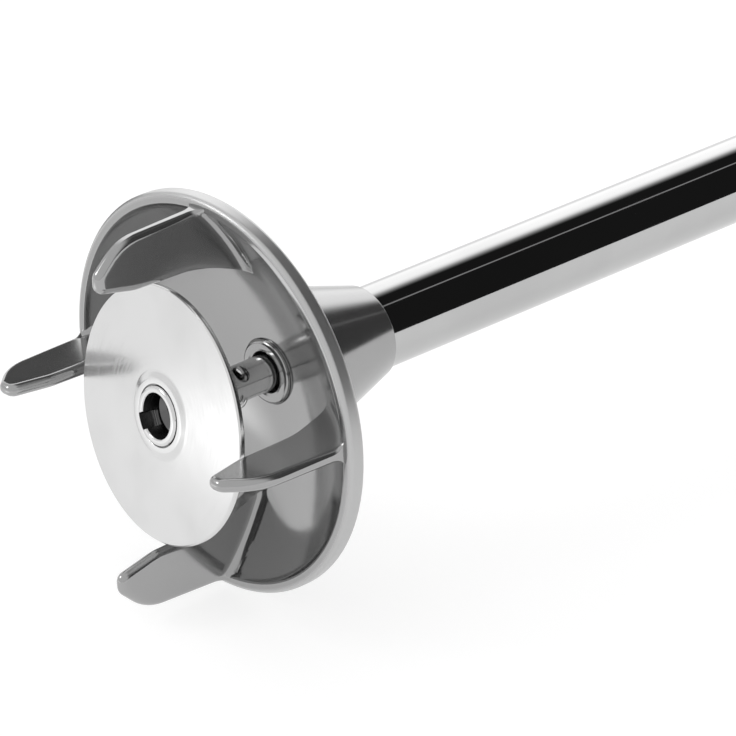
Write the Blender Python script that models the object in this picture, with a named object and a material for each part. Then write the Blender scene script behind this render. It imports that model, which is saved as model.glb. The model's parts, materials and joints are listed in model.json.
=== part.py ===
"""Immersion blender: a stainless mixing foot with an emulsifying disc, and the motor unit that drives it.

The blender lies on its side, as it does on a worktop. X runs along the drive axis, from the mixing head at -X
to the cord gland at +X, and Z points up. Every length below is in metres.

Pieces on the drive axis are drawn in the axis frame: x is the distance behind the middle of the guard's rim,
y and z are measured from the axis, and r is the distance from it. Angles round the axis run from +Z to -Y.
"""

import math

import bmesh
import bpy
from mathutils import Matrix, Vector

MM = 0.001
GAP = 0.3 * MM  # between neighbouring pieces

# Guard bell
RIM_RADIUS = 52.5 * MM
RIM_THICKNESS = 5.0 * MM
DISH_RADIUS = 75.5 * MM  # of the sphere that the hollow is cut from
DISH_CENTRE_X = -58.5 * MM
DISH_WALL = 3.5 * MM
CONE_END_X = 48.8 * MM
CONE_END_RADIUS = 12.3 * MM
FIN_COUNT = 4
FIN_START_ANGLE = math.radians(-4.5)
FIN_THICKNESS = 3.4 * MM
FIN_TIP_X = -35.6 * MM

# Foot
TUBE_RADIUS = 11.0 * MM
TUBE_WALL = 1.5 * MM
TUBE_START_X = 36.5 * MM
TUBE_END_X = 318.0 * MM
SHAFT_RADIUS = 4.75 * MM
SPIGOT_RADIUS = 3.5 * MM  # front end of the shaft, inside the disc's hub
SHAFT_STEP_X = 17.6 * MM
BUSH_X = 15.3 * MM
BUSH_BORE = 6.3 * MM
FLANGE_X = 306.0 * MM  # of the foot's upper fitting, where it meets the motor unit

# Emulsifying disc
DISC_X = -18.6 * MM
DISC_RADIUS = 33.1 * MM
DISC_THICKNESS = 1.6 * MM
DISC_TILT = math.radians(8.2)
DISC_TILT_ANGLE = math.radians(-32.4)  # the way the front of the disc leans, round the axis
HUB_RADIUS = 7.7 * MM
HUB_BORE = 5.8 * MM
PIN_X = 5.8 * MM
PIN_RADIUS = 1.3 * MM
PIN_ANGLE = math.radians(24)
CLIP_X = PIN_X - 1.2 * MM
CLIP_ANGLE = math.radians(-8)
WINDOW_ANGLE = math.radians(35)  # of the hole in the hub's sleeve that the pin's ball sits in
KEYWAY_ANGLE = math.radians(237.5)

# Motor unit
COLLAR_X = 299.0 * MM
NOSE_X = FLANGE_X + 5.3 * MM
SHELL_X = 352.0 * MM
SHELL_HALF = 50.5 * MM
SHELL_WALL = 3.0 * MM
SHELL_FRONT_WALL = 7.0 * MM  # closes the shells' corners behind the round nose
SHELL_FRONT_DEPTH = 2.0 * MM
SHELL_END_X = 640.0 * MM
BUMPER_HALF = RIM_RADIUS  # the bumpers and the rim rest on the same surface
BUMPER_WIDTH = 14.0 * MM
BUMPER_XS = (361.0 * MM, 493.0 * MM)
STATOR_XS = (382.0 * MM, 432.0 * MM)
STATOR_HALF = 38.0 * MM
ARMATURE_RADIUS = 21.3 * MM
MOTOR_SHAFT_RADIUS = 5.0 * MM
COMMUTATOR_XS = (441.5 * MM, 455.0 * MM)
BRUSH_X = 448.0 * MM
BRACKET_X = 457.0 * MM
REAR_BEARING_X = 466.0 * MM
BOARD_X = 487.0 * MM
DIAL_X = 476.0 * MM
TRIGGER_X = 560.0 * MM  # of the trigger's pivot
TRIGGER_Z = 19.5 * MM
TRIGGER_LENGTH = 42.0 * MM
TRIGGER_HALF_WIDTH = 7.5 * MM
TRIGGER_PIN_HALF = 10.5 * MM
PLUNGER_X = TRIGGER_X + 30.0 * MM
BUTTON_X = 578.0 * MM
BUTTON_Z = 2.0 * MM
GLAND_END_X = 657.0 * MM
SCREW_PLACES = (  # (x, z) of the screws that hold the shells together
    (378.0 * MM, 41.0 * MM),
    (378.0 * MM, -41.0 * MM),
    (515.0 * MM, 34.0 * MM),
    (515.0 * MM, -34.0 * MM),
    (610.0 * MM, -3.0 * MM),
)

# The whole object is centred on X = 0 and rests on Z = 0.
RIM_WORLD_X = -(GLAND_END_X + FIN_TIP_X) / 2
AXIS_HEIGHT = RIM_RADIUS

STEEL = ("steel", (0.78, 0.78, 0.79), 0.12, 1.0)
SATIN_STEEL = ("satin_steel", (0.80, 0.80, 0.80), 0.28, 1.0)
ALUMINIUM = ("aluminium", (0.72, 0.73, 0.74), 0.35, 1.0)
BRASS = ("brass", (0.72, 0.56, 0.30), 0.30, 1.0)
COPPER = ("copper", (0.62, 0.30, 0.17), 0.35, 1.0)
LAMINATION = ("lamination", (0.34, 0.34, 0.36), 0.45, 1.0)
CARBON = ("carbon", (0.04, 0.04, 0.04), 0.65, 0.0)
DARK_PLASTIC = ("dark_plastic", (0.06, 0.06, 0.065), 0.45, 0.0)
GREY_PLASTIC = ("grey_plastic", (0.55, 0.56, 0.57), 0.40, 0.0)
RED_PLASTIC = ("red_plastic", (0.45, 0.05, 0.04), 0.40, 0.0)
RUBBER = ("rubber", (0.025, 0.025, 0.025), 0.75, 0.0)
BOARD_GREEN = ("board_green", (0.05, 0.18, 0.09), 0.50, 0.0)


def clear_scene():
    for obj in list(bpy.data.objects):
        bpy.data.objects.remove(obj, do_unlink=True)


def material(spec):
    name, colour, roughness, metallic = spec
    found = bpy.data.materials.get(name)
    if found:
        return found
    made = bpy.data.materials.new(name)
    made.use_nodes = True
    shader = made.node_tree.nodes["Principled BSDF"]
    shader.inputs["Base Color"].default_value = (*colour, 1.0)
    shader.inputs["Roughness"].default_value = roughness
    shader.inputs["Metallic"].default_value = metallic
    return made


def pivot(name, place):
    """An empty that marks a joint's place, in world coordinates."""
    empty = bpy.data.objects.new(name, None)
    empty.location = place
    bpy.context.scene.collection.objects.link(empty)
    return empty


def add_object(name, bm, finish, parent):
    """Make an object of the bmesh, facing out and shaded smooth up to 35 degrees."""
    bmesh.ops.recalc_face_normals(bm, faces=bm.faces)
    mesh = bpy.data.meshes.new(name)
    bm.to_mesh(mesh)
    bm.free()
    mesh.shade_smooth()
    mesh.set_sharp_from_angle(angle=math.radians(35))
    mesh.materials.append(material(finish))
    obj = bpy.data.objects.new(name, mesh)
    obj.parent = parent
    bpy.context.scene.collection.objects.link(obj)
    return obj


def combine(target, other, operation):
    """Cut other from target, or join it on. The other object stays as a hidden helper."""
    modifier = target.modifiers.new(operation.lower(), "BOOLEAN")
    modifier.operation = operation
    modifier.object = other
    modifier.solver = "EXACT"
    other.hide_render = True
    other.display_type = "WIRE"


def cut(target, *cutters):
    for cutter in cutters:
        combine(target, cutter, "DIFFERENCE")


def join(target, *others):
    for other in others:
        combine(target, other, "UNION")


def helper(name, bm, parent):
    return add_object(name, bm, DARK_PLASTIC, parent)


def rounded(corners, closed=True, steps=3):
    """The outline through the corners, each (u, v) or (u, v, radius) for an arc of that radius."""
    outline = []
    count = len(corners)
    for index, corner in enumerate(corners):
        here = Vector(corner[:2])
        at_end = not closed and index in (0, count - 1)
        if len(corner) == 2 or at_end:
            outline.append(here)
            continue
        before = (Vector(corners[index - 1][:2]) - here).normalized()
        after = (Vector(corners[(index + 1) % count][:2]) - here).normalized()
        half_angle = before.angle(after) / 2
        radius = corner[2]
        reach = radius / math.tan(half_angle)
        centre = here + (before + after).normalized() * radius / math.sin(half_angle)
        first = here + before * reach - centre
        last = here + after * reach - centre
        for step in range(steps + 1):
            blend = first.lerp(last, step / steps).normalized()
            outline.append(centre + blend * radius)
    return outline


def turned_mesh(outline, segments):
    """A body turned about the X axis from (x, r) points: a ring if none is on the axis, else solid."""
    bm = bmesh.new()
    on_axis = min(point[1] for point in outline) <= 0
    corners = [bm.verts.new((point[0], 0, point[1])) for point in outline]
    edges = [bm.edges.new(pair) for pair in zip(corners, corners[1:])]
    if not on_axis:
        edges.append(bm.edges.new((corners[-1], corners[0])))
    bmesh.ops.spin(
        bm,
        geom=corners + edges,
        cent=(0, 0, 0),
        axis=(1, 0, 0),
        angle=math.tau,
        steps=segments,
        use_merge=True,
    )
    bmesh.ops.remove_doubles(bm, verts=bm.verts, dist=0.001 * MM)
    return bm


def turned(name, outline, finish, parent, segments=28):
    return add_object(name, turned_mesh(outline, segments), finish, parent)


def ring(name, xs, radii, finish, parent, edge=0.0, segments=20):
    """A plain turned ring between two x and two radii, with its outer edges eased."""
    (start, end), (inner, outer) = xs, radii
    ease = (edge,) if edge else ()
    corners = [(start, inner), (start, outer, *ease), (end, outer, *ease), (end, inner)]
    return turned(name, rounded(corners, steps=1), finish, parent, segments)


def rod_mesh(xs, radius, segments=24):
    start, end = xs
    return turned_mesh([(start, 0), (start, radius), (end, radius), (end, 0)], segments)


def box_mesh(low, high, bevel=0.0, steps=1):
    """A box between two corners, with all its edges rounded by bevel."""
    low, high = Vector(low), Vector(high)
    bm = bmesh.new()
    size = high - low
    place = Matrix.Translation((low + high) / 2) @ Matrix.Diagonal((*size, 1))
    bmesh.ops.create_cube(bm, size=1, matrix=place)
    if bevel:
        bmesh.ops.bevel(bm, geom=bm.edges[:], offset=bevel, segments=steps, profile=0.5, affect="EDGES")
    return bm


def box(name, low, high, finish, parent, bevel=0.4 * MM):
    return add_object(name, box_mesh(low, high, bevel), finish, parent)


def add_to(bm, other):
    """Put a copy of the other bmesh into bm, and free it."""
    mesh = bpy.data.meshes.new("scratch")
    other.to_mesh(mesh)
    other.free()
    bm.from_mesh(mesh)
    bpy.data.meshes.remove(mesh)


def repeated_mesh(make, placements):
    """One bmesh with a copy of make() for each placement matrix."""
    bm = bmesh.new()
    for placement in placements:
        copy = make()
        bmesh.ops.transform(copy, matrix=placement, verts=copy.verts)
        add_to(bm, copy)
    return bm


def about_axis(angle):
    """Turn about the drive axis, from +Z to -Y."""
    return Matrix.Rotation(angle, 4, "X")


def prism_mesh(outline, half_thickness, bevel=0.0, steps=2):
    """An (x, z) outline given thickness along Y, with its two rims rounded by bevel."""
    bm = bmesh.new()
    verts = [bm.verts.new((point[0], -half_thickness, point[1])) for point in outline]
    face = bm.faces.new(verts)
    moved = bmesh.ops.extrude_face_region(bm, geom=[face])["geom"]
    lifted = [item for item in moved if isinstance(item, bmesh.types.BMVert)]
    bmesh.ops.translate(bm, verts=lifted, vec=(0, 2 * half_thickness, 0))
    if bevel:
        rims = [edge for edge in bm.edges if edge.verts[0].co.y == edge.verts[1].co.y]
        bmesh.ops.bevel(bm, geom=rims, offset=bevel, segments=steps, profile=0.5, affect="EDGES")
    return bm


def section(half_y, half_z, corner, steps=4):
    """A rounded rectangle round the axis, as (y, z) points."""
    corners = [(half_y, half_z), (half_y, -half_z), (-half_y, -half_z), (-half_y, half_z)]
    return rounded([(*point, corner) for point in corners], steps=steps)


def loft_mesh(stations):
    """Bridge the sections, each (x, loop), and close the first and the last."""
    bm = bmesh.new()
    loops = [[bm.verts.new((x, y, z)) for y, z in loop] for x, loop in stations]
    for first, second in zip(loops, loops[1:]):
        for index in range(len(first)):
            after = (index + 1) % len(first)
            bm.faces.new((first[index], first[after], second[after], second[index]))
    bm.faces.new(loops[0])
    bm.faces.new(loops[-1])
    return bm


# ---------------------------------------------------------------- guard bell


def dish_x(radius, wall=0.0):
    """The x of the bell's hollow at this distance from the axis, or of a surface that far behind it."""
    return DISH_CENTRE_X + math.sqrt((DISH_RADIUS + wall) ** 2 - radius**2)


def bell_outline():
    """Round the bell's wall: rim, hollow, bores, cone and the back of the dish."""
    half = RIM_THICKNESS / 2
    lip, throat = 48.7 * MM, 8.8 * MM  # ends of the hollow
    root, edge = 27.0 * MM, 50.5 * MM  # ends of the dish's back
    rim = rounded([(half, edge), (half, RIM_RADIUS, 1.5 * MM), (-half, RIM_RADIUS, 1.5 * MM),
                   (-half, 49.6 * MM, 0.8 * MM), (dish_x(lip), lip)], closed=False)
    hollow = [lip + (throat - lip) * step / 8 for step in range(1, 9)]
    bores = [(18.0 * MM, throat), (18.0 * MM, 8.3 * MM), (35.8 * MM, 8.3 * MM),
             (35.8 * MM, TUBE_RADIUS + GAP)]
    cone = rounded([(CONE_END_X, TUBE_RADIUS + GAP), (CONE_END_X, CONE_END_RADIUS, 0.7 * MM),
                    (22.5 * MM, 20.3 * MM, 9.0 * MM), (dish_x(root, DISH_WALL), root)], closed=False)
    back = [root + (edge - root) * step / 4 for step in range(1, 5)]
    outline = rim + [(dish_x(radius), radius) for radius in hollow] + bores + cone
    return outline + [(dish_x(radius, DISH_WALL), radius) for radius in back]


def fin_outline():
    """A guard finger as (x, r): its root follows the middle of the dish wall."""
    edge = [
        (-1.0 * MM, 50.8 * MM),
        (-28.0 * MM, 49.8 * MM, 14.0 * MM),
        (FIN_TIP_X, 42.6 * MM, 3.2 * MM),
        (FIN_TIP_X, 38.0 * MM, 2.6 * MM),
        (-24.0 * MM, 35.4 * MM, 14.0 * MM),
        (-5.0 * MM, 34.9 * MM, 22.0 * MM),
        (5.0 * MM, 30.8 * MM, 12.0 * MM),
        (13.9 * MM, 26.6 * MM),
    ]
    root = [30 * MM + 4.6 * MM * step for step in range(5)]
    return rounded(edge, closed=False, steps=2) + [(dish_x(r, DISH_WALL / 2), r) for r in root]


def fin_mesh():
    return prism_mesh(fin_outline(), FIN_THICKNESS / 2, bevel=1.3 * MM)


def fin_placements():
    return [about_axis(FIN_START_ANGLE + math.tau * index / FIN_COUNT) for index in range(FIN_COUNT)]


def make_guard_bell(foot):
    bell = turned("guard_bell", bell_outline(), STEEL, foot, segments=36)
    join(bell, helper("fins", repeated_mesh(fin_mesh, fin_placements()), foot))


# ---------------------------------------------------------------- foot


def make_foot_bearings(foot):
    bush = [
        (BUSH_X + 0.6 * MM, BUSH_BORE, 0.6 * MM),
        (BUSH_X, 7.4 * MM, 1.0 * MM),
        (BUSH_X + 0.6 * MM, 8.5 * MM, 0.6 * MM),
        (BUSH_X + 2.2 * MM, 8.5 * MM),
        (BUSH_X + 2.2 * MM, 8.0 * MM),
        (32.0 * MM, 8.0 * MM),
        (32.0 * MM, BUSH_BORE),
    ]
    turned("lower_bush", rounded(bush, steps=1), STEEL, foot)
    ring("lip_seal", (19.5 * MM, 23.5 * MM), (SHAFT_RADIUS + GAP, 6.0 * MM), RUBBER, foot)
    ring("lower_bearing", (24.0 * MM, 31.5 * MM), (SHAFT_RADIUS + GAP, 6.0 * MM), BRASS, foot)
    ring("upper_bearing", (303.0 * MM, 312.0 * MM), (SHAFT_RADIUS + GAP, 9.2 * MM), BRASS, foot)


def make_outer_tube(foot):
    inner = TUBE_RADIUS - TUBE_WALL
    ring("outer_tube", (TUBE_START_X, TUBE_END_X), (inner, TUBE_RADIUS), STEEL, foot, segments=32)


def make_foot_fitting(foot):
    """The sleeve on the tube's upper end, with the flange that the collar pulls against the motor unit."""
    bore = TUBE_RADIUS + GAP
    sleeve = [
        (284.0 * MM, bore),
        (284.0 * MM, 13.5 * MM, 1.0 * MM),
        (297.0 * MM, 14.0 * MM),
        (FLANGE_X - 0.4 * MM, 14.0 * MM),
        (FLANGE_X - 0.4 * MM, 19.2 * MM, 0.6 * MM),
        (FLANGE_X + 5.0 * MM, 19.2 * MM, 0.6 * MM),
        (FLANGE_X + 5.0 * MM, 15.8 * MM),
        (335.0 * MM, 15.8 * MM, 0.8 * MM),
        (335.0 * MM, 12.6 * MM),
        (TUBE_END_X + GAP, 12.6 * MM),
        (TUBE_END_X + GAP, bore),
    ]
    turned("foot_fitting", rounded(sleeve, steps=1), ALUMINIUM, foot)


def make_lock_collar(collar):
    """A ribbed ring that turns to release the foot."""
    outline = [
        (COLLAR_X, 14.4 * MM),
        (COLLAR_X, 23.0 * MM, 2.0 * MM),
        (303.0 * MM, 26.0 * MM, 1.0 * MM),
        (326.0 * MM, 26.0 * MM, 1.0 * MM),
        (329.0 * MM, 24.0 * MM),
        (329.0 * MM, 20.9 * MM),
        (FLANGE_X - 0.8 * MM, 20.9 * MM),
        (FLANGE_X - 0.8 * MM, 14.4 * MM),
    ]
    body = turned("lock_collar", rounded(outline, steps=1), DARK_PLASTIC, collar)
    groove = repeated_mesh(
        lambda: box_mesh((306 * MM, -1.4 * MM, 25.0 * MM), (323 * MM, 1.4 * MM, 28.0 * MM)),
        [about_axis(math.tau * index / 12) for index in range(12)],
    )
    cut(body, helper("collar_grooves", groove, collar))


# ---------------------------------------------------------------- drive shaft and disc


def make_drive_shaft(drive):
    outline = [
        (-14.0 * MM, 0),
        (-14.0 * MM, SPIGOT_RADIUS),
        (SHAFT_STEP_X, SPIGOT_RADIUS),
        (SHAFT_STEP_X, SHAFT_RADIUS),
        (318.0 * MM, SHAFT_RADIUS),
        (318.0 * MM, 3.4 * MM),
        (325.0 * MM, 3.4 * MM),
        (325.0 * MM, 0),
    ]
    shaft = turned("drive_shaft", outline, STEEL, drive, segments=24)
    hole = rod_mesh((-8 * MM, 8 * MM), PIN_RADIUS + 0.15 * MM, segments=12)
    bmesh.ops.transform(hole, matrix=pin_placement(), verts=hole.verts)
    cut(shaft, helper("pin_hole", hole, drive))


def pin_placement():
    """Lay a piece that runs along X across the shaft at the cross pin's place."""
    return about_axis(PIN_ANGLE) @ Matrix.Translation((PIN_X, 0, 0)) @ Matrix.Rotation(math.pi / 2, 4, "Y")


def make_cross_pin(drive):
    """A pin with a ball on each end, which holds the disc's hub on the shaft."""
    reach = 5.5 * MM
    ball = 1.6 * MM
    neck = 4.0 * MM
    arc = [math.acos(PIN_RADIUS / ball) * (1 - step / 3) + (math.pi / 2) * step / 3 for step in range(4)]
    half = [(neck, PIN_RADIUS)]
    half += [(reach - ball + ball * math.sin(turn), ball * math.cos(turn)) for turn in arc[1:-1]]
    outline = half + [(reach, 0)]
    outline = [(-x, r) for x, r in reversed(outline)] + outline
    bm = turned_mesh(outline, 16)
    bmesh.ops.transform(bm, matrix=pin_placement(), verts=bm.verts)
    add_object("cross_pin", bm, STEEL, drive)


def disc_placement():
    """The tilted disc's own frame: its centre on the axis, and its axis leaning with the front face."""
    lean = about_axis(DISC_TILT_ANGLE)
    return Matrix.Translation((DISC_X, 0, 0)) @ lean @ Matrix.Rotation(DISC_TILT, 4, "Y") @ lean.inverted()


def tilt(bm):
    bmesh.ops.transform(bm, matrix=disc_placement(), verts=bm.verts)
    return bm


def make_mixing_disc(drive):
    """A thin plate with its middle raised a little round the hub."""
    rise = 0.7 * MM
    plate = [
        (-rise, HUB_RADIUS + GAP),
        (-rise, 8.8 * MM),
        (0, 11.2 * MM),
        (0, DISC_RADIUS, 0.3 * MM),
        (DISC_THICKNESS, DISC_RADIUS, 0.3 * MM),
        (DISC_THICKNESS, HUB_RADIUS + GAP),
    ]
    bm = turned_mesh(rounded(plate, steps=1), 40)
    add_object("mixing_disc", tilt(bm), SATIN_STEEL, drive)


def make_disc_hub(drive):
    """A ring through the disc, and a sleeve along the shaft back to the bush."""
    collar = [
        (-1.3 * MM, HUB_BORE),
        (-1.3 * MM, HUB_RADIUS, 0.4 * MM),
        (DISC_THICKNESS + 4.0 * MM, HUB_RADIUS, 0.4 * MM),
        (DISC_THICKNESS + 4.0 * MM, HUB_BORE),
    ]
    sleeve = [
        (-12.9 * MM, SPIGOT_RADIUS + GAP),
        (-15.2 * MM, HUB_BORE + 0.9 * MM),
        (-13.0 * MM, HUB_BORE + 0.9 * MM),
        (-12.0 * MM, SHAFT_RADIUS),
        (SHAFT_STEP_X - GAP, SHAFT_RADIUS),
        (SHAFT_STEP_X - GAP, SPIGOT_RADIUS + GAP),
    ]
    hub = add_object("disc_hub", tilt(turned_mesh(rounded(collar, steps=1), 28)), STEEL, drive)
    join(hub, helper("hub_sleeve", turned_mesh(sleeve, 24), drive))
    slot = box_mesh((-3 * MM, -2.2 * MM, 0), (3.5 * MM, 2.2 * MM, 7.1 * MM))
    bmesh.ops.transform(slot, matrix=disc_placement() @ about_axis(KEYWAY_ANGLE), verts=slot.verts)
    cut(hub, helper("hub_slot", slot, drive))
    for index, turn in enumerate((0, WINDOW_ANGLE - PIN_ANGLE)):
        window = rod_mesh((-8 * MM, 8 * MM), 2.0 * MM, segments=16)
        bmesh.ops.transform(window, matrix=about_axis(turn) @ pin_placement(), verts=window.verts)
        cut(hub, helper(f"pin_window_{index}", window, drive))


def make_pin_clip(drive):
    """A spring wire wrapped round the sleeve, whose end lies near the cross pin's ball."""
    wire = 0.5 * MM
    reach = SHAFT_RADIUS + GAP + wire
    sweep = math.radians(250)
    steps = 24
    curve = bpy.data.curves.new("pin_clip", "CURVE")
    curve.dimensions = "3D"
    curve.bevel_depth = wire
    curve.bevel_resolution = 1
    curve.use_fill_caps = True
    curve.materials.append(material(STEEL))
    line = curve.splines.new("POLY")
    line.points.add(steps)
    for step, point in enumerate(line.points):
        angle = CLIP_ANGLE - sweep * step / steps
        point.co = (CLIP_X, -reach * math.sin(angle), reach * math.cos(angle), 1)
    clip = bpy.data.objects.new("pin_clip", curve)
    clip.parent = drive
    bpy.context.scene.collection.objects.link(clip)


def sector_mesh(xs, radii, sweep, steps=4):
    """A slice of a ring, centred on +Z."""
    (start, end), (inner, outer) = xs, radii
    turns = [sweep * (step / steps - 0.5) for step in range(steps + 1)]
    loop = [(outer * math.sin(t), outer * math.cos(t)) for t in turns]
    loop += [(inner * math.sin(t), inner * math.cos(t)) for t in reversed(turns)]
    return loft_mesh([(start, loop), (end, loop)])


def coupling_tabs(xs, first_angle):
    return repeated_mesh(
        lambda: sector_mesh(xs, (5.6 * MM, 8.6 * MM), math.radians(70)),
        [about_axis(first_angle), about_axis(first_angle + math.pi)],
    )


def make_shaft_coupling(drive):
    body = ring("shaft_coupling", (318.4 * MM, 325.6 * MM), (3.4 * MM + GAP, 9.0 * MM), DARK_PLASTIC, drive)
    join(body, helper("shaft_coupling_tabs", coupling_tabs((325 * MM, 330.5 * MM), 0), drive))


# ---------------------------------------------------------------- motor


def make_motor_coupling(armature):
    body = ring("motor_coupling", (331.0 * MM, 337.0 * MM), (MOTOR_SHAFT_RADIUS + GAP, 9.0 * MM),
                DARK_PLASTIC, armature)
    join(body, helper("motor_coupling_tabs", coupling_tabs((326.2 * MM, 331.8 * MM), math.pi / 2), armature))


def make_motor_shaft(armature):
    outline = [
        (331.4 * MM, 0),
        (331.4 * MM, MOTOR_SHAFT_RADIUS),
        (REAR_BEARING_X - 1.0 * MM, MOTOR_SHAFT_RADIUS),
        (REAR_BEARING_X - 1.0 * MM, 3.8 * MM),
        (475.0 * MM, 3.8 * MM),
        (475.0 * MM, 0),
    ]
    turned("motor_shaft", outline, STEEL, armature, segments=24)


def make_cooling_fan(armature):
    hub = ring("cooling_fan", (354.5 * MM, 367.0 * MM), (MOTOR_SHAFT_RADIUS + GAP, 9.5 * MM), GREY_PLASTIC,
               armature)
    plate = ring("fan_plate", (365.0 * MM, 366.8 * MM), (8.5 * MM, 38.5 * MM), GREY_PLASTIC, armature)
    blades = repeated_mesh(
        lambda: box_mesh((355.5 * MM, -0.8 * MM, 8.8 * MM), (365.8 * MM, 0.8 * MM, 37.5 * MM)),
        [about_axis(math.tau * index / 9) for index in range(9)],
    )
    join(hub, plate, helper("fan_blades", blades, armature))


def make_armature(armature):
    start, end = STATOR_XS
    bore = MOTOR_SHAFT_RADIUS + GAP
    core = ring("armature_core", (start, end), (bore, ARMATURE_RADIUS), LAMINATION, armature, segments=24)
    slots = repeated_mesh(
        lambda: box_mesh((start - MM, -1.0 * MM, 15 * MM), (end + MM, 1.0 * MM, 23 * MM)),
        [about_axis(math.tau * index / 12) for index in range(12)],
    )
    cut(core, helper("armature_slots", slots, armature))
    for name, xs in (("front", (372.5 * MM, start - GAP)), ("rear", (end + GAP, 440.5 * MM))):
        ring(f"armature_winding_{name}", xs, (bore, 18.5 * MM), COPPER, armature, edge=3.5 * MM)
    ring("commutator", COMMUTATOR_XS, (bore, 12.0 * MM), COPPER, armature)


def make_stator(motor):
    start, end = STATOR_XS
    stack = loft_mesh([(start, section(STATOR_HALF, STATOR_HALF, 10 * MM, 3)),
                       (end, section(STATOR_HALF, STATOR_HALF, 10 * MM, 3))])
    core = add_object("stator_core", stack, LAMINATION, motor)
    bore = helper("stator_bore", rod_mesh((start - MM, end + MM), 22.1 * MM, segments=32), motor)
    windows = bmesh.new()
    for side in (-1, 1):
        for up in (-1, 1):
            ys = sorted((side * 23.0 * MM, side * 31.3 * MM))
            zs = sorted((up * 22.0 * MM, up * 30.3 * MM))
            add_to(windows, box_mesh((start - MM, ys[0], zs[0]), (end + MM, ys[1], zs[1])))
    cut(core, bore, helper("coil_windows", windows, motor))
    for name, up in (("upper", 1), ("lower", -1)):
        zs = sorted((up * 22.4 * MM, up * 30.0 * MM))
        coil = box(f"field_coil_{name}", (374.5 * MM, -31 * MM, zs[0]), (439.5 * MM, 31 * MM, zs[1]), COPPER,
                   motor, bevel=1.5 * MM)
        neck = box_mesh((start - GAP, -23.3 * MM, zs[0] - MM), (end + GAP, 23.3 * MM, zs[1] + MM))
        cut(coil, helper(f"pole_neck_{name}", neck, motor))


def make_bearings(motor):
    ring("front_bearing", (339.0 * MM, 348.0 * MM), (MOTOR_SHAFT_RADIUS + GAP, 15.0 * MM), STEEL, motor)
    ring("rear_bearing", (REAR_BEARING_X, REAR_BEARING_X + 7 * MM), (3.8 * MM + GAP, 11.0 * MM), STEEL, motor)


def make_rear_bracket(motor):
    """The plate across the housing that holds the rear bearing and both brush holders."""
    plate = box("rear_bracket", (BRACKET_X, -44 * MM, -30 * MM), (BRACKET_X + 5 * MM, 44 * MM, 30 * MM),
                ALUMINIUM, motor, bevel=MM)
    boss = rod_mesh((BRACKET_X + MM, REAR_BEARING_X + 9 * MM), 14 * MM, segments=32)
    seat = rod_mesh((REAR_BEARING_X - GAP, REAR_BEARING_X + 12 * MM), 11.0 * MM + GAP, segments=32)
    passage = rod_mesh((BRACKET_X - MM, REAR_BEARING_X + MM), 8 * MM, segments=24)
    join(plate, helper("bracket_boss", boss, motor))
    cut(plate, helper("bearing_seat", seat, motor), helper("shaft_passage", passage, motor))


def make_brushes(motor):
    for name, side in (("left", 1), ("right", -1)):
        ys = sorted((side * 13.0 * MM, side * 36.0 * MM))
        low = (BRUSH_X - 4.5 * MM, ys[0], -5.5 * MM)
        high = (BRACKET_X - GAP, ys[1], 5.5 * MM)
        holder = box(f"brush_holder_{name}", low, high, BRASS, motor, bevel=0.5 * MM)
        channel = box_mesh((BRUSH_X - 3.3 * MM, ys[0] - MM, -4.3 * MM),
                           (BRUSH_X + 3.3 * MM, ys[1] + MM, 4.3 * MM))
        cut(holder, helper(f"brush_channel_{name}", channel, motor))
        ys = sorted((side * 12.4 * MM, side * 30.0 * MM))
        box(f"carbon_brush_{name}", (BRUSH_X - 3.0 * MM, ys[0], -4.0 * MM),
            (BRUSH_X + 3.0 * MM, ys[1], 4.0 * MM), CARBON, motor, bevel=0.3 * MM)


def make_electronics(motor):
    box("control_board", (BOARD_X, -34 * MM, -32 * MM), (BOARD_X + 1.6 * MM, 34 * MM, 32 * MM), BOARD_GREEN,
        motor, bevel=0.2 * MM)
    box("suppression_capacitor", (BOARD_X + 1.9 * MM, -24 * MM, -22 * MM),
        (BOARD_X + 15 * MM, -8 * MM, 4 * MM), GREY_PLASTIC, motor, bevel=MM)
    box("heat_sink", (BOARD_X + 1.9 * MM, 6 * MM, -18 * MM), (BOARD_X + 16 * MM, 22 * MM, 14 * MM), ALUMINIUM,
        motor, bevel=0.5 * MM)
    box("dial_potentiometer", (DIAL_X - 8 * MM, -8 * MM, 37.5 * MM), (DIAL_X + 8 * MM, 8 * MM, 46.5 * MM),
        GREY_PLASTIC, motor, bevel=0.6 * MM)
    stem = rod_mesh((30 * MM, 50 * MM), 3.2 * MM, segments=16)
    bmesh.ops.transform(stem, matrix=upright(DIAL_X, 0), verts=stem.verts)
    cut(bpy.data.objects["dial_potentiometer"], helper("dial_stem_hole", stem, motor))


def upright(x, y):
    """Stand a piece that runs along X up along Z, at this x and y."""
    return Matrix.Translation((x, y, 0)) @ Matrix.Rotation(-math.pi / 2, 4, "Y")


# ---------------------------------------------------------------- housing


def make_motor_nose(motor):
    """The cast front of the motor unit: the foot's socket, the collar's neck and the front bearing's seat."""
    outline = [
        (NOSE_X, 16.2 * MM),
        (NOSE_X, 20.4 * MM, 0.5 * MM),
        (331.0 * MM, 20.4 * MM),
        (331.0 * MM, 27.0 * MM, 1.5 * MM),
        (342.0 * MM, 40.0 * MM, 12.0 * MM),
        (345.0 * MM, 46.0 * MM, 2.0 * MM),
        (SHELL_X - GAP, 46.0 * MM, 0.6 * MM),
        (SHELL_X - GAP, 36.0 * MM),
        (348.6 * MM, 15.3 * MM),
        (338.6 * MM, 15.3 * MM),
        (338.6 * MM, 13.0 * MM),
        (336.8 * MM, 13.0 * MM),
        (335.8 * MM, 16.2 * MM),
    ]
    turned("motor_nose", rounded(outline, steps=1), ALUMINIUM, motor, segments=32)


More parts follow.
